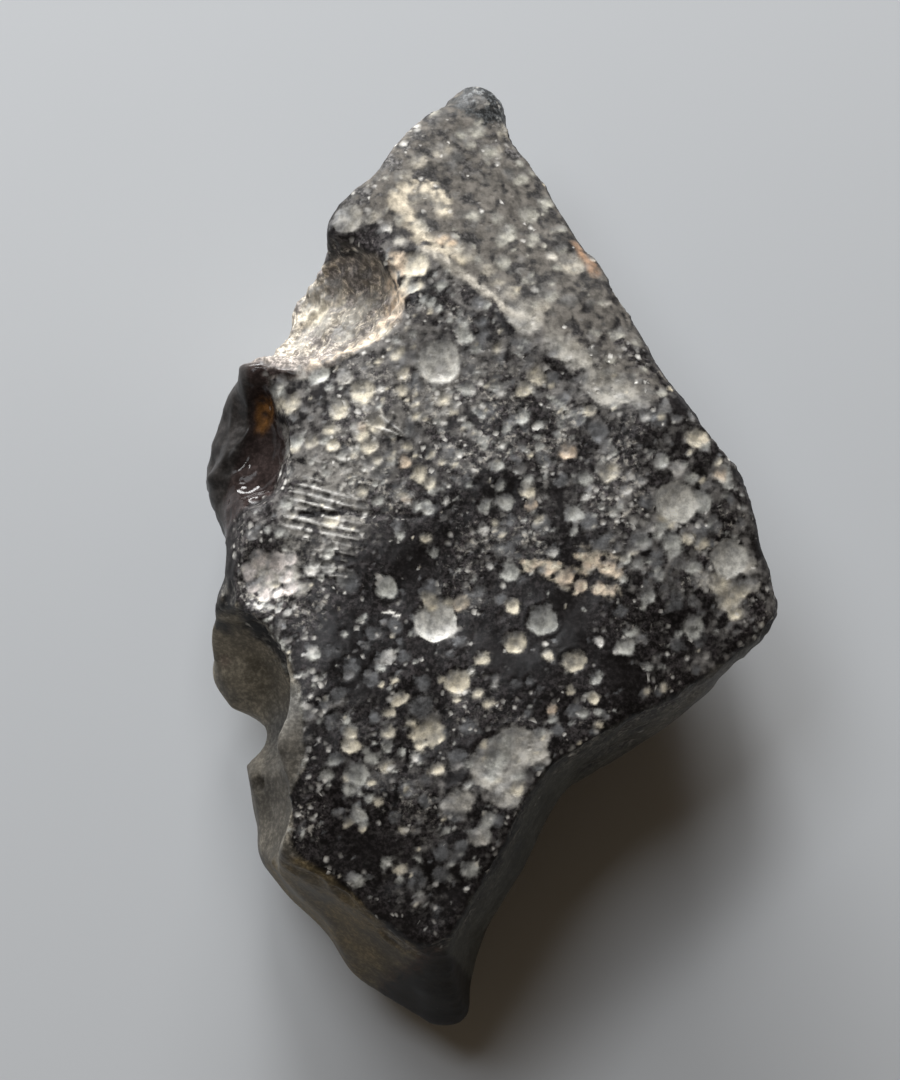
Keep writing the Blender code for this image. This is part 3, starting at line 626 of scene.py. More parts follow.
def scattered_small_pits(points):
    """Small pits over the upper face, thick and thin by area."""
    pits = scatter(SMALL_PIT_SEED, SMALL_PIT_COUNT, SMALL_PIT_RADII, points.min(axis=0), points.max(axis=0))
    on_plan = np.column_stack((pits[:, :2], np.zeros(len(pits))))
    in_clumps = np.clip(1.0 + CLUMPING * noise_heights(on_plan, CLUMP_LENGTH), 0.25, 1.6)
    share = over_areas(pits, PIT_AREAS, PIT_SHARE) * in_clumps
    keep = np.random.default_rng(KEPT_PIT_SEED).uniform(0, 1, len(pits)) < share
    keep &= depth_inside(pits, WEATHERED_TOP) > 0.15
    return pits[keep]


def rib_share(points, centre, reach, sector):
    """1 in the middle of a fan's sector, easing to 0 at its edges."""
    x = points[:, 0] - centre[0]
    y = points[:, 1] - centre[1]
    angle = np.mod(np.arctan2(y, x), 2 * math.pi)
    middle = sum(reach) / 2
    along = 1 - ((np.hypot(x, y) - middle) / (reach[1] - middle)) ** 2
    turn = sum(sector) / 2
    across = 1 - ((angle - turn) / (sector[1] - turn)) ** 2
    return np.sqrt(np.clip(along, 0, 1) * np.clip(across, 0, 1))


def rib_heights(points, centre, reach, sector, pitch, height):
    """Sharp-crested, uneven ribs that fan out from a centre and fade at the edges of their sector."""
    angle = np.mod(np.arctan2(points[:, 1] - centre[1], points[:, 0] - centre[0]), 2 * math.pi)
    turns = (angle + 0.45 * pitch * noise_heights(points, 2.0)) / pitch
    own = noise_heights(np.column_stack((turns * 0.7, np.full((len(points), 2), 0.5))), 1.0)
    uneven = np.clip(0.8 + 1.2 * own + 0.7 * noise_heights(points, 1.1), 0.1, 1.3)
    crest = uneven * (1 - np.abs(np.sin(turns * math.pi)))
    return height * crest * rib_share(points, centre, reach, sector)


def lump_heights(points):
    """Broken lumps of several sizes, with creases between them."""
    return sum(amount * (np.abs(noise_heights(points, length)) - 0.2) for length, amount in LUMP_LENGTHS)


def side_pits(points, normals):
    """Burst bubbles on the weathered sides and underside, each sunk along the axis that its face looks to."""
    low, high = points.min(axis=0), points.max(axis=0)
    facing = np.abs(normals)
    total = np.zeros(len(points))
    for seed, axes, share in zip(SIDE_PIT_SEEDS, ([0, 2], [1, 2], [0, 1]), (
        ramp(facing[:, 1], 0.6, 0.8), ramp(facing[:, 0], 0.6, 0.8), ramp(-normals[:, 2], 0.5, 0.7),
    )):
        pits = scatter(seed, SIDE_PIT_COUNT, SIDE_PIT_RADII, low[axes], high[axes])
        sunk = np.zeros(len(points))
        sink_pits(points[:, axes], sunk, pits, PIT_DEPTHS["side"])
        total += sunk * share
    return total


def fresh_share(points, normals):
    """1 on the fresh breaks below the upper face's rims, 0 on weathered skin."""
    below = ramp(-depth_inside(points, WEATHERED_TOP), 0.0, 0.35)
    places = straying_plan(points, points[:, :2])
    lower_wall = ramp(-places[:, 1], 3.9, 4.6) * ramp(places[:, 0], -2.8, -2.2)
    others = np.zeros(len(points))
    for outline in (LEFT_BREAKS, LOWER_LEFT_BREAK, TIP_BREAK, HOLLOW_BREAK, GLOSSY_CORNER):
        others = np.maximum(others, ramp(depth_inside(places, outline), -0.25, 0.25))
    not_under = ramp(normals[:, 2], -0.75, -0.45)
    return below * np.maximum(lower_wall, others) * not_under


def upper_pits(plan, small_pits):
    """How far the upper face's bubbles are sunk, less on its worn upper right part."""
    sunk = np.zeros(len(plan))
    for pits, kind in (
        (DUST_PATCHES, "patch"), (DULL_PITS, "patch"), (small_pits, "small"), (GREY_PITS, "large"),
        (PALE_PITS, "pale"), (PEACH_PITS, "patch"), (CREAM_PITS, "large"), (WHITE_PITS_AND_GLINTS, "dot"),
        (PINK_PITS, "patch"),
    ):
        sink_pits(plan, sunk, pits, PIT_DEPTHS[kind])
    return sunk * (1 - UPPER_RIGHT_PIT_LOSS * ramp(depth_inside(plan, UPPER_RIGHT_FACE), -0.2, 0.6))


def skin_heights(points, normals, small_pits):
    """How far the skin moves out at each point."""
    plan = bent_plan(points)
    top = depth_inside(points, WEATHERED_TOP)
    upper = ramp(top, 0.0, 0.4) * ramp(normals[:, 2], 0.3, 0.6)
    fresh = fresh_share(points, normals)
    chips = CHIP_DEPTH * noise_heights(points, CHIP_LENGTH)
    heights = chips * (1 - CHIP_LOSS_FRESH * fresh) * (1 - CHIP_LOSS_UPPER * upper)
    grain = GRAIN_DEPTH * noise_heights(points, GRAIN_LENGTH)
    heights += grain * (1 - fresh) * (1 - GRAIN_LOSS_UPPER * upper)
    heights += upper * (sum(rib_heights(points, *fan) for fan in RIBS) + upper_pits(plan, small_pits))
    ridge = over_line(plan, PALE_RIDGE, PALE_RIDGE_HALF_WIDTH)
    heights += upper * PALE_RIDGE_HEIGHT * (ridge - over_line(plan, GROOVE, GROOVE_HALF_WIDTH))
    heights += (1 - fresh) * (1 - upper) * side_pits(points, normals)
    outside = ramp(-top, -0.1, 0.3) * ramp(-normals[:, 2], -0.97, -0.9)
    heights += outside * ramp(depth_inside(points, HOLLOW_BREAK), 0.0, 0.5) * lump_heights(points)
    corner = ramp(-top, -0.05, 0.3) * ramp(depth_inside(points, GLOSSY_CORNER), -0.1, 0.3)
    swollen = CORNER_RIDGE_HEIGHT * over_line(points, CORNER_RIDGE, CORNER_RIDGE_HALF_WIDTH)
    swollen += sum(amount * noise_heights(points, length) for length, amount in CORNER_SWELLS)
    heights += corner * swollen
    heights -= LOBE_HOLE_DEPTH * near_place(points, LOBE_HOLE)
    return heights * ramp(points[:, 2], PLAIN_BELOW, PLAIN_BELOW + PLAIN_FADE)


def work_skin(piece, small_pits):
    """Moves the skin in and out, and keeps it within the plain form's box."""
    points, normals = points_and_normals(piece.data)
    moved = points + normals * skin_heights(points, normals, small_pits)[:, None]
    push = over_line(points, LOWER_LEFT_RIM, RIM_PUSH_WIDTH) * ramp(points[:, 2], *RIM_PUSH_HEIGHTS)
    moved[:, :2] += push[:, None] * RIM_PUSH
    moved[:, 2] = np.where(points[:, 2] < FLAT_BELOW, 0.0, moved[:, 2])
    box_low, box_high = (np.array(corner) / MM for corner in cad_box)
    moved = np.clip(moved, box_low, box_high)
    piece.data.vertices.foreach_set("co", (moved * MM).ravel())
    piece.data.update()


class Skin:
    """The stone's finished skin at each point, with what several of its finishes ask for."""

    def __init__(self, mesh):
        self.points, self.normals = points_and_normals(mesh)
        self.x, self.y, _ = self.points.T
        self.plan = bent_plan(self.points)
        self.low = straying_plan(self.points, self.plan)
        self.fresh = fresh_share(self.points, self.normals)
        self.outside = ramp(-depth_inside(self.plan, WEATHERED_TOP), -0.12, 0.1)
        self.broken = noise_heights(self.points, 0.4)
        self.patches = noise_heights(self.points, 0.9)
        patchy = 1.05 + 1.1 * noise_heights(self.points, 0.3) + 0.5 * noise_heights(self.points, 0.8)
        self.patchy = np.clip(patchy, 0.15, 1.25)
        self.mottle = noise_heights(self.points + 50.0, 0.26)

    def ragged_inside(self, outline, amount, low, high):
        """1 on a break inside an outline, easing to 0 over a ragged edge."""
        depth = depth_inside(self.low, outline) + amount * self.broken + amount * self.patches
        return self.outside * ramp(depth, low, high)


def worn_layers(skin):
    """Weathering on the rims, the sides and the upper right face, and the grey knob."""
    rims = ramp(-skin.normals[:, 2], -0.8, -0.4) * (1 - skin.outside)
    yield rims * 0.8, BLACK_GLASS, WEATHERED_ROUGH
    sides = skin.outside * ramp(-skin.normals[:, 2], -0.5, -0.2)
    yield sides * 0.8, WEATHERED, WEATHERED_ROUGH
    upper_right = ramp(depth_inside(skin.plan, UPPER_RIGHT_FACE), -0.2, 0.5)
    fading = ramp(skin.y - 0.6 * skin.x, 2.0, 9.0)
    yield upper_right * fading * 0.9, WEATHERED, WEATHERED_ROUGH
    x, y, radius = DARK_KNOB
    away = np.hypot(skin.plan[:, 0] - x, skin.plan[:, 1] - y)
    yield ramp(-away, -radius * 1.1, -radius * 0.8), KNOB_GREY, KNOB_ROUGH


def wall_layers(skin):
    """The hollow lower right wall, paler towards its right end."""
    wall = skin.outside * ramp(-skin.low[:, 1], 3.9, 4.4) * ramp(skin.low[:, 0], -2.6, -2.2)
    yield wall, BREAK_GREY, BREAK_ROUGH
    yield wall * ramp(skin.x, 3.0, 10.5), BREAK_PALE, BREAK_ROUGH


def lobe_layers(skin):
    """The brown left lobes: a grey band, a darker lower lobe, a hole painted dark as its shade, and a pale
    spot.
    """
    left = skin.ragged_inside(LEFT_BREAKS, 0.4, -0.3, 0.4)
    yield left, LOBE_BROWN, LOBE_ROUGH
    band = left * ramp(skin.x, -9.9, -9.1) * ramp(-skin.y, 6.0, 7.5) * ramp(skin.y, -12.4, -11.4)
    yield band, BAND_GREY, LOBE_ROUGH
    low_lobe = left * ramp(-skin.y, 7.6, 9.2) * (0.75 + 0.25 * ramp(skin.broken, -0.2, 0.3))
    yield low_lobe, LOBE_DARK, LOBE_ROUGH
    # Painted shade in the hole.
    yield near_place(skin.points, LOBE_HOLE) * 0.8, BLACK_GLASS, LOBE_ROUGH
    yield near_place(skin.points, PALE_SPOT) * 0.6, LOBE_SPOT, LOBE_ROUGH


def lower_left_layers(skin):
    """The olive lower left break, the dark tip and the brown ridge between them."""
    lower_left = ramp(depth_inside(skin.low, LOWER_LEFT_BREAK), -0.1, 0.2)
    yield skin.outside * lower_left, OLIVE, OLIVE_ROUGH
    tip = ramp(depth_inside(skin.plan, TIP_BREAK), -0.1, 0.1)
    yield skin.outside * tip, TIP_GREY, OLIVE_ROUGH
    ridge = over_line(skin.plan, BOTTOM_RIDGE, BOTTOM_RIDGE_HALF_WIDTH)
    yield skin.outside * ridge * ramp(skin.broken, -0.4, 0.1) * 0.8, RIDGE_BROWN, OLIVE_ROUGH


def hollow_layers(skin):
    """The cream hollow, broken up by grey, with a pinkish low side and a grey flank painted paler as light in
    its shade.
    """
    hollow = skin.ragged_inside(HOLLOW_BREAK, 0.5, -0.3, 0.5)
    yield hollow, HOLLOW_CREAM, HOLLOW_ROUGH
    greyed = skin.broken + 1.2 * skin.patches + 0.9 * noise_heights(skin.points, 0.22)
    yield hollow * ramp(greyed, -0.15, 0.45) * 0.9, HOLLOW_GREY, HOLLOW_ROUGH
    low_side = hollow * ramp(-skin.y, -8.6, -7.2) * ramp(-skin.x, 5.2, 6.6)
    yield low_side * 0.75, HOLLOW_PINK, HOLLOW_ROUGH
    # The flank is painted paler than its grey to stand in for light in its shade.
    flank = hollow * ramp(depth_inside(skin.plan, GREY_FLANK), -0.3, 0.3)
    yield flank * ramp(skin.broken, -0.5, 0.1), FLANK_GREY_AND_PAINTED_LIGHT, HOLLOW_ROUGH


def corner_layers(skin):
    """The glossy corner: near-black glass, a dull grey outer strip and an orange stain."""
    corner = skin.ragged_inside(GLOSSY_CORNER, 0.3, -0.2, 0.4)
    yield corner, CORNER_BLACK, CORNER_ROUGH
    slanted = -skin.x - 0.35 * np.clip(4.6 - skin.y, 0, 3)
    yield corner * ramp(slanted, 10.0, 10.35), CORNER_GREY, CORNER_GREY_ROUGH
    stain = ramp(depth_inside(skin.plan, ORANGE_STAIN), -0.1, 0.3) * ramp(skin.broken, -0.5, 0.1)
    yield stain * skin.outside, STAIN_ORANGE, STAIN_ROUGH


def ground_finish(skin):
    """The bare stone at each point: its colour, and its roughness in the fourth place."""
    ground = np.tile(np.array((*BLACK_GLASS, BLACK_ROUGH)), (len(skin.points), 1))
    for layers in (worn_layers, wall_layers, lobe_layers, lower_left_layers, hollow_layers, corner_layers):
        for share, colour, roughness in layers(skin):
            ground += share[:, None] * (np.array((*colour, roughness)) - ground)
    return ground


def lay_dust(dust, near, share, laid):
    """Lays dust over what lies there already, so that each layer shows by its own share."""
    before = dust[near, 3]
    after = before + share * (1 - before)
    kept = dust[near, :3] * (before * (1 - share))[:, None] + laid * share[:, None]
    dust[near, :3] = kept / np.maximum(after, 1e-6)[:, None]
    dust[near, 3] = after


def spread_dust(dust, share, colour):
    """Lays dust over the whole skin by its share at each point."""
    lay_dust(dust, np.arange(len(dust)), share, np.array(colour))


def settle_dust(skin, dust, pits, colour, cover, seed):
    """Lays patchy dust in pits, with painted shade: thinner and greyer on the side towards the light, which
    the lip shades.
    """
    random = np.random.default_rng(seed)
    for (near, away, out), (_, _, radius) in zip(near_pits(skin.plan, pits), pits):
        strength = random.uniform(0.75, 1.25)
        # Painted shade: on the side towards the light, which the pit's lip shades, the dust is made thinner.
        painted_shade = ramp(out @ np.array(SHADED_SIDE), -0.6, 1.0)
        rim = ramp(-away, -1 - min(SOFT_OUT / radius, 0.4), -max(1 - SOFT_IN / radius, 0.1))
        even = min(radius, 0.8)
        breaks = even + (1 - even) * skin.patchy[near]
        share = np.clip(rim * cover * strength * breaks * (1 - PAINTED_SHADE_LOSS * painted_shade), 0, 1)
        # The slate tint on that side is painted shade, with some random greying and mottle added.
        greyer = (0.75 * painted_shade + random.uniform(0.0, 0.2) + 0.5 * skin.mottle[near]) * (1 - 0.3 * even)
        greyer = np.clip(greyer, 0, 0.85)[:, None]
        tint = np.array(colour) * (1 - greyer) + np.array(SLATE_DUST_AND_SHADE) * 1.6 * greyer
        lay_dust(dust, near, share, tint * random.uniform(0.85, 1.12))


def lay_film(skin, dust):
    """A thin grey film, thicker in some areas, broken into patches and grain."""
    film = np.clip(over_areas(skin.points, FILM_AREAS, FILM_BASE), 0, 1)
    uneven = 0.85 + 1.3 * noise_heights(skin.points, 0.6) + 0.8 * noise_heights(skin.points, 1.6)
    film *= np.clip(uneven, 0.1, 1.7)
    film *= np.clip(0.97 + 1.3 * skin.mottle, 0.3, 1.6)
    tint = np.array(FILM_GREY) * (1.0 + 0.3 * skin.mottle[:, None])
    spread_dust(dust, np.clip(film, 0, FILM_MOST), tint)


def fill_pits(skin, dust, small_pits):
    """Fills the pits with dust, the dull ones first and the bright ones last."""
    kinds = np.random.default_rng(DUST_KIND_SEED).uniform(0, 1, len(small_pits))
    kinds += over_areas(small_pits, BRIGHT_AREAS, 0.0)
    dull, filmed, greyed = (kinds < limit for limit in SMALL_PIT_KINDS)
    for pits, colour, cover, seed in (
        (DUST_PATCHES, HAZE_DUST, 0.75, 41),
        (small_pits[dull], DULL_DUST, 0.7, 42),
        (DULL_PITS, DULL_DUST, 0.7, 43),
        (small_pits[filmed & ~dull], FILM_GREY, 0.8, 44),
        (small_pits[greyed & ~filmed], GREY_DUST, 0.75, 45),
        (small_pits[~greyed], CREAM_DUST, 0.9, 46),
        (GREY_PITS, GREY_DUST, 0.95, 47),
        (PALE_PITS, PALE_DUST, 1.5, 51),
        (PINK_PITS, PINK_DUST, 1.1, 52),
        (PEACH_PITS, PEACH_DUST, 1.2, 48),
        (CREAM_PITS, CREAM_DUST, 1.0, 49),
        (WHITE_PITS_AND_GLINTS, WHITE_DUST_AND_GLINT, 1.0, 50),
    ):
        settle_dust(skin, dust, pits, colour, cover, seed)
    faded = ramp(depth_inside(skin.plan, UPPER_RIGHT_FACE), -0.2, 0.6)
    dust[:, :3] *= 1 - faded[:, None] * FACE_FADING


def dust_lines(skin, dust):
    """Dust along the ridges, the rims, the smear and the scratches."""
    ridge = over_line(skin.plan, PALE_RIDGE, 0.34) * np.clip(skin.patchy, 0.5, 1)
    spread_dust(dust, ridge * 0.7, RIDGE_DUST)
    rust = over_line(skin.plan, RUST_MARK, 0.32) * np.clip(skin.patchy, 0.4, 1)
    spread_dust(dust, rust * 0.6, RUST_DUST)
    crumbled = np.clip(2.4 * (skin.patchy - 0.7), 0, 1)
    for line, half_width, cover, colour in CRUMBLED_LINES:
        spread_dust(dust, over_line(skin.plan, line, half_width) * cover * crumbled, colour)
    streaks = ramp(noise_heights(skin.points @ SMEAR_STRETCH, 1.0), -0.2, 0.4)
    streaks *= np.clip(2.0 * skin.patchy - 1.2, 0.1, 1)
    for line in (PEACH_SMEAR, PEACH_SMEAR_UPPER):
        smeared = over_line(skin.plan, line, SMEAR_HALF_WIDTH) * SMEAR_COVER * streaks
        spread_dust(dust, smeared, CREAM_DUST)
        spread_dust(dust, smeared * ramp(skin.mottle, -0.1, 0.3), PEACH_DUST)
    spread_dust(dust, over_line(skin.plan, SQUIGGLE, 0.14) * 0.9, WHITE_DUST_AND_GLINT)
    spread_dust(dust, over_line(skin.plan, SCRATCH, 0.12) * 0.8, GREY_DUST)


def dust_ribs(skin, dust):
    """A thin haze between the ribs, and a painted highlight on their crests."""
    between = sum(rib_share(skin.points, *fan[:3]) for fan in RIBS)
    spread_dust(dust, between * np.clip(skin.patchy - 0.4, 0, 0.6) * 0.35, HAZE_DUST)
    crests = sum(rib_heights(skin.points, *fan) / fan[4] for fan in RIBS)
    # The crests' brightness is a painted highlight.
    bright = ramp(crests, 0.15, 0.95) * np.clip(1.8 * skin.patchy - 0.8, 0.1, 1)
    spread_dust(dust, bright * 0.7, RIB_CREST_HIGHLIGHT)


def dust_finish(skin, small_pits):
    """The dust at each point: its colour, and how fully it covers the stone in the fourth place."""
    dust = np.zeros((len(skin.points), 4))
    lay_film(skin, dust)
    fill_pits(skin, dust, small_pits)
    dust_lines(skin, dust)
    dust_ribs(skin, dust)
    dust[:, 3] *= 1 - 0.9 * over_line(skin.plan, GROOVE, GROOVE_HALF_WIDTH)
    upper = ramp(depth_inside(skin.points, WEATHERED_TOP), -0.25, 0.1) * ramp(skin.normals[:, 2], 0.2, 0.45)
    hollow = ramp(depth_inside(skin.points, HOLLOW_BREAK), -0.2, 0.3)
    dust[:, 3] *= np.maximum(upper, 0.6 * hollow)
    weathered = (1 - skin.fresh) * (1 - upper)
    in_pits = ramp(-side_pits(skin.points, skin.normals), 0.02, 0.1) * np.clip(skin.patchy, 0.2, 1)
    spread_dust(dust, in_pits * weathered * SIDE_DUST, HAZE_DUST)
    return dust


def speck_density(skin):
    """How thickly fine specks lie at each point: most on the upper face, none on fresh breaks."""
    depth = depth_inside(skin.points, WEATHERED_TOP)
    clumps = 1.0 + CLUMPING * noise_heights(skin.points, CLUMP_LENGTH)
    thick = np.clip(over_areas(skin.points, SPECK_AREAS, 0.5) * clumps, 0.05, 1)
    hollow = ramp(-depth, 0.0, 0.3) * ramp(depth_inside(skin.points, HOLLOW_BREAK), 0.0, 0.4)
    return np.maximum((1 - skin.fresh) * (0.2 + 0.8 * ramp(depth, 0.0, 0.3)) * thick, 0.25 * hollow)


def keep(mesh, name, values):
    """Keeps a colour or an amount at each point, for the finish to read."""
    kind, field = ("FLOAT_COLOR", "color") if values.ndim == 2 else ("FLOAT", "value")
    attribute = mesh.attributes.new(name, kind, "POINT")
    attribute.data.foreach_set(field, values.astype(np.float32).ravel())


def make_stone():
    """The tektite's skin, worked and with its finishes laid on."""
    stone = merged_copy(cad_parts["tektite"], "tektite_stone")
    even_out(stone)
    ease_upper_face(stone)
    refine(stone, upper_side)
    refine(stone, ribbed)
    points, _ = points_and_normals(stone.data)
    small_pits = scattered_small_pits(points)
    work_skin(stone, small_pits)
    skin = Skin(stone.data)
    keep(stone.data, "ground", ground_finish(skin))
    keep(stone.data, "dust", dust_finish(skin, small_pits))
    keep(stone.data, "speckle", speck_density(skin))
    for polygon in stone.data.polygons:
        polygon.use_smooth = True
    return stone


class Finish:
    """A node-based material with short ways to add and join its nodes. Lengths are in millimetres."""

    def __init__(self, name):
        self.material = bpy.data.materials.new(name)
        self.material.use_nodes = True
        self.tree = self.material.node_tree
        self.shader = self.tree.nodes["Principled BSDF"]

    def add(self, kind, **settings):
        node = self.tree.nodes.new(kind)
        for name, value in settings.items():
            setattr(node, name, value)
        return node

    def put(self, socket, value):
        if isinstance(value, bpy.types.NodeSocket):
            self.tree.links.new(value, socket)
        elif value is not None:
            socket.default_value = value

    def give(self, name, value):
        self.put(self.shader.inputs[name], value)

    def math(self, operation, first, second=None):
        node = self.add("ShaderNodeMath", operation=operation)
        self.put(node.inputs[0], first)
        self.put(node.inputs[1], second)
        return node.outputs[0]

    def span(self, value, low, high, to_low, to_high, eased=True):
        node = self.add("ShaderNodeMapRange", interpolation_type="SMOOTHSTEP" if eased else "LINEAR")
        names = ("Value", "From Min", "From Max", "To Min", "To Max")
        for name, given in zip(names, (value, low, high, to_low, to_high)):
            self.put(node.inputs[name], given)
        return node.outputs["Result"]

    def blend(self, share, first, second, way="MIX"):
        node = self.add("ShaderNodeMix", data_type="RGBA", blend_type=way)
        for place, given in zip((0, 6, 7), (share, first, second)):
            self.put(node.inputs[place], given)
        return node.outputs[2]

    def between(self, share, first, second):
        node = self.add("ShaderNodeMix", data_type="FLOAT")
        for place, given in zip((0, 2, 3), (share, first, second)):
            self.put(node.inputs[place], given)
        return node.outputs[0]

    def grey(self, value):
        node = self.add("ShaderNodeCombineColor")
        for socket in node.inputs:
            self.put(socket, value)
        return node.outputs[0]

    def shaded(self, colour, tone):
        """A colour made darker or lighter by a tone."""
        return self.blend(1.0, colour, self.grey(tone), "MULTIPLY")

    def noise(self, coords, length, detail=2.0, roughness=0.5, wanted="Fac"):
        node = self.add("ShaderNodeTexNoise")
        self.put(node.inputs["Vector"], coords)
        node.inputs["Scale"].default_value = 1 / (length * MM)
        node.inputs["Detail"].default_value = detail
        node.inputs["Roughness"].default_value = roughness
        return node.outputs[wanted]


def bent_coords(finish, coords, length, amount):
    """Coordinates pushed about by noise, so that cells laid out with them have uneven edges."""
    shift = finish.add("ShaderNodeVectorMath", operation="MULTIPLY_ADD")
    finish.put(shift.inputs[0], finish.noise(coords, length, 1.0, wanted="Color"))
    shift.inputs[1].default_value = (amount * MM,) * 3
    finish.put(shift.inputs[2], coords)
    return shift.outputs[0]


def stone_colour(finish, coords, ground, cloud, density):
    """Bare stone, clouded, with small paler grains where specks lie thick."""
    tone = finish.span(cloud, 0.3, 0.7, 0.6, 1.45)
    brightest = finish.math("ADD", finish.math("MULTIPLY", density, 4.5), 1.2)
    grains = finish.span(finish.noise(coords, 0.2, 4.0, 0.7), 0.42, 0.68, 0.7, brightest)
    return finish.shaded(ground.outputs["Color"], finish.math("MULTIPLY", tone, grains))


def dust_cover(finish, coords, dust):
    """How fully the laid dust covers the stone, with edges frayed by noise."""
    fray = finish.span(finish.noise(coords, 0.26, 3.0, 0.6), 0.36, 0.64, 0.0, 0.25)
    return finish.span(dust.outputs["Alpha"], fray, finish.math("ADD", fray, 0.68), 0.0, 1.0)


def crumb_layer(finish, coords, clumps, grit, density):
    """Uneven crumbs of dust: how fully they cover, and their colour."""
    edge = finish.span(density, 0.3, 1.0, 0.72, 0.46, eased=False)
    full = finish.math("ADD", edge, 0.24)
    crumb = finish.span(finish.noise(coords, 0.3, 3.0, 0.6), edge, full, 0.0, 1.0)
    crumb = finish.math("MULTIPLY", crumb, finish.span(clumps, 0.4, 0.62, 0.3, 0.85))
    shade = finish.span(grit, 0.4, 0.62, 0.0, 1.0)
    return crumb, finish.blend(shade, (*CRUMB_GREY, 1.0), (*CRUMB_CREAM, 1.0))


def speckle_layer(finish, coords, density, cell, radii):
    """Soft specks in cells of one length: how deep each point lies in one, and its own shade."""
    cells = finish.add("ShaderNodeTexVoronoi", feature="F1")
    finish.put(cells.inputs["Vector"], coords)
    cells.inputs["Scale"].default_value = 1 / (cell * MM)
    cells.inputs["Randomness"].default_value = 1.0
    own = finish.add("ShaderNodeSeparateColor")
    finish.put(own.inputs[0], cells.outputs["Color"])
    radius = finish.span(finish.math("POWER", own.outputs[0], 1.6), 0.0, 1.0, *radii, eased=False)
    disc = finish.span(cells.outputs["Distance"], 0.0, radius, 1.0, 0.0)
    kept = finish.math("LESS_THAN", own.outputs[1], density)
    return finish.math("MULTIPLY", disc, kept), own.outputs[2]


def make_stone_finish():
    """Bare stone under laid dust, crumbs and two sizes of speck, whose white ones are partly painted glints.
    """
    finish = Finish("pitted_tektite_glass")
    coords = finish.add("ShaderNodeTexCoord").outputs["Object"]
    ground = finish.add("ShaderNodeAttribute", attribute_name="ground")
    dust = finish.add("ShaderNodeAttribute", attribute_name="dust")
    density = finish.add("ShaderNodeAttribute", attribute_name="speckle").outputs["Fac"]
    cloud = finish.noise(coords, 1.6, 5.0, 0.6)
    grit = finish.noise(coords, 0.2, 2.0, 0.5)
    clumps = finish.noise(coords, 0.38, 4.0, 0.65)
    bent = bent_coords(finish, coords, 0.25, 0.16)

    stone = stone_colour(finish, coords, ground, cloud, density)
    dust_share = dust_cover(finish, coords, dust)
    dusty = finish.shaded(dust.outputs["Color"], finish.span(clumps, 0.32, 0.68, 0.6, 1.27))
    colour = finish.blend(dust_share, stone, dusty)
    crumb, crumbs = crumb_layer(finish, bent, clumps, grit, density)
    colour = finish.blend(crumb, colour, crumbs)
    cover = finish.math("MAXIMUM", dust_share, crumb)
    dents = []
    for cell, radii, share in SPECK_SIZES:
        disc, shade = speckle_layer(finish, bent, finish.math("MULTIPLY", density, share), cell, radii)
        # White specks: partly dust, partly painted glints.
        speck = finish.blend(finish.span(shade, 0.4, 1.0, 0.0, 1.0), (*FILM_GREY, 1.0), (*WHITE_DUST_AND_GLINT, 1.0))
        opacity = finish.span(finish.math("POWER", shade, 2.0), 0.0, 1.0, 0.12, 0.9)
        strength = finish.math("MULTIPLY", disc, opacity)
        colour = finish.blend(strength, colour, speck)
        cover = finish.math("MAXIMUM", cover, strength)
        dents.append(finish.math("MULTIPLY", disc, -cell))
    finish.give("Base Color", colour)

    bare_rough = finish.math("ADD", ground.outputs["Alpha"], finish.span(cloud, 0.3, 0.7, -0.05, 0.08))
    finish.give("Roughness", finish.between(cover, bare_rough, DUST_ROUGH))
    finish.give("IOR", GLASS_INDEX)
    finish.give("Specular IOR Level", GLASS_SHEEN)

    grain = finish.math("MULTIPLY", grit, finish.span(dust_share, 0.1, 0.6, 0.02, 0.045))
    height = finish.math("ADD", finish.math("MULTIPLY", finish.math("ADD", *dents), 0.25), grain)
    bump = finish.add("ShaderNodeBump")
    bump.inputs["Strength"].default_value = BUMP_STRENGTH
    bump.inputs["Distance"].default_value = BUMP_HEIGHT * MM
    finish.put(bump.inputs["Height"], height)
    finish.give("Normal", bump.outputs["Normal"])
    return finish.material


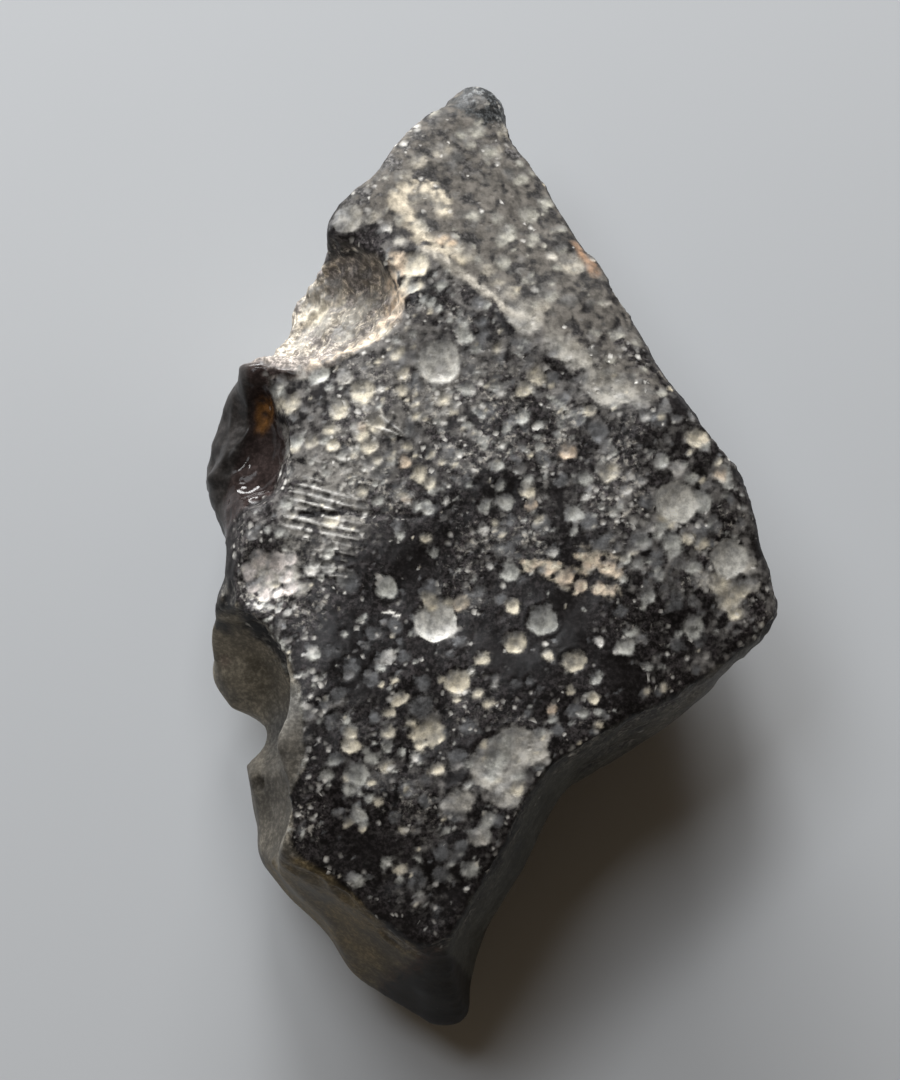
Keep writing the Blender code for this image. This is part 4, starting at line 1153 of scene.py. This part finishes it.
def make_table():
    """The pale paper that the stone lies on."""
    shape = bmesh.new()
    bmesh.ops.create_grid(shape, x_segments=2, y_segments=2, size=TABLE_HALF_WIDTH * MM)
    mesh = bpy.data.meshes.new("table_top")
    shape.to_mesh(mesh)
    shape.free()
    finish = Finish("pale_paper")
    coords = finish.add("ShaderNodeTexCoord").outputs["Object"]
    colour = finish.blend(finish.noise(coords, 30.0, 3.0), PAPER_COOL, PAPER_PALE)
    finish.give("Base Color", colour)
    finish.give("Roughness", PAPER_ROUGH)
    mesh.materials.append(finish.material)
    placed("table_top", mesh)


def light_from(name, azimuth, elevation, distance, size, energy, colour):
    """A wide soft light that faces the stone from a compass direction and a height above the table."""
    lamp = bpy.data.lights.new(name, "AREA")
    lamp.shape = "RECTANGLE"
    lamp.size, lamp.size_y = size
    lamp.energy = energy
    lamp.color = colour
    holder = placed(name, lamp)
    turn, rise = math.radians(azimuth), math.radians(elevation)
    towards = Vector((math.cos(turn) * math.cos(rise), math.sin(turn) * math.cos(rise), math.sin(rise)))
    holder.location = Vector(LIT_PLACE) * MM + towards * distance
    holder.rotation_euler = towards.to_track_quat("Z", "Y").to_euler()


def make_studio():
    """A dim warm room and its three pale windows."""
    world = bpy.data.worlds.new("pale_room")
    world.use_nodes = True
    background = world.node_tree.nodes["Background"]
    background.inputs["Color"].default_value = ROOM_COLOUR
    background.inputs["Strength"].default_value = ROOM_STRENGTH
    bpy.context.scene.world = world
    for window in WINDOWS:
        light_from(*window)
    bpy.context.scene.view_settings.view_transform = "Standard"


def make_camera():
    """A camera high above the stone's lower end."""
    rise = math.radians(CAMERA_ELEVATION)
    look = Vector((0, math.cos(rise), -math.sin(rise)))
    data = bpy.data.cameras.new("camera")
    data.sensor_fit = "VERTICAL"
    data.sensor_width = CAMERA_SENSOR
    data.sensor_height = CAMERA_SENSOR
    data.lens = CAMERA_LENS
    data.clip_start = CAMERA_NEAREST * MM
    camera = placed("camera", data)
    camera.location = (Vector(CAMERA_TARGET) - look * CAMERA_DISTANCE) * MM
    camera.rotation_euler = look.to_track_quat("-Z", "Y").to_euler()
    bpy.context.scene.camera = camera


noise.seed_set(VECTOR_NOISE_SEED)
stone = make_stone()
stone.data.materials.clear()
stone.data.materials.append(make_stone_finish())
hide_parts("tektite")
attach(stone, "root")
make_table()
make_studio()
make_camera()
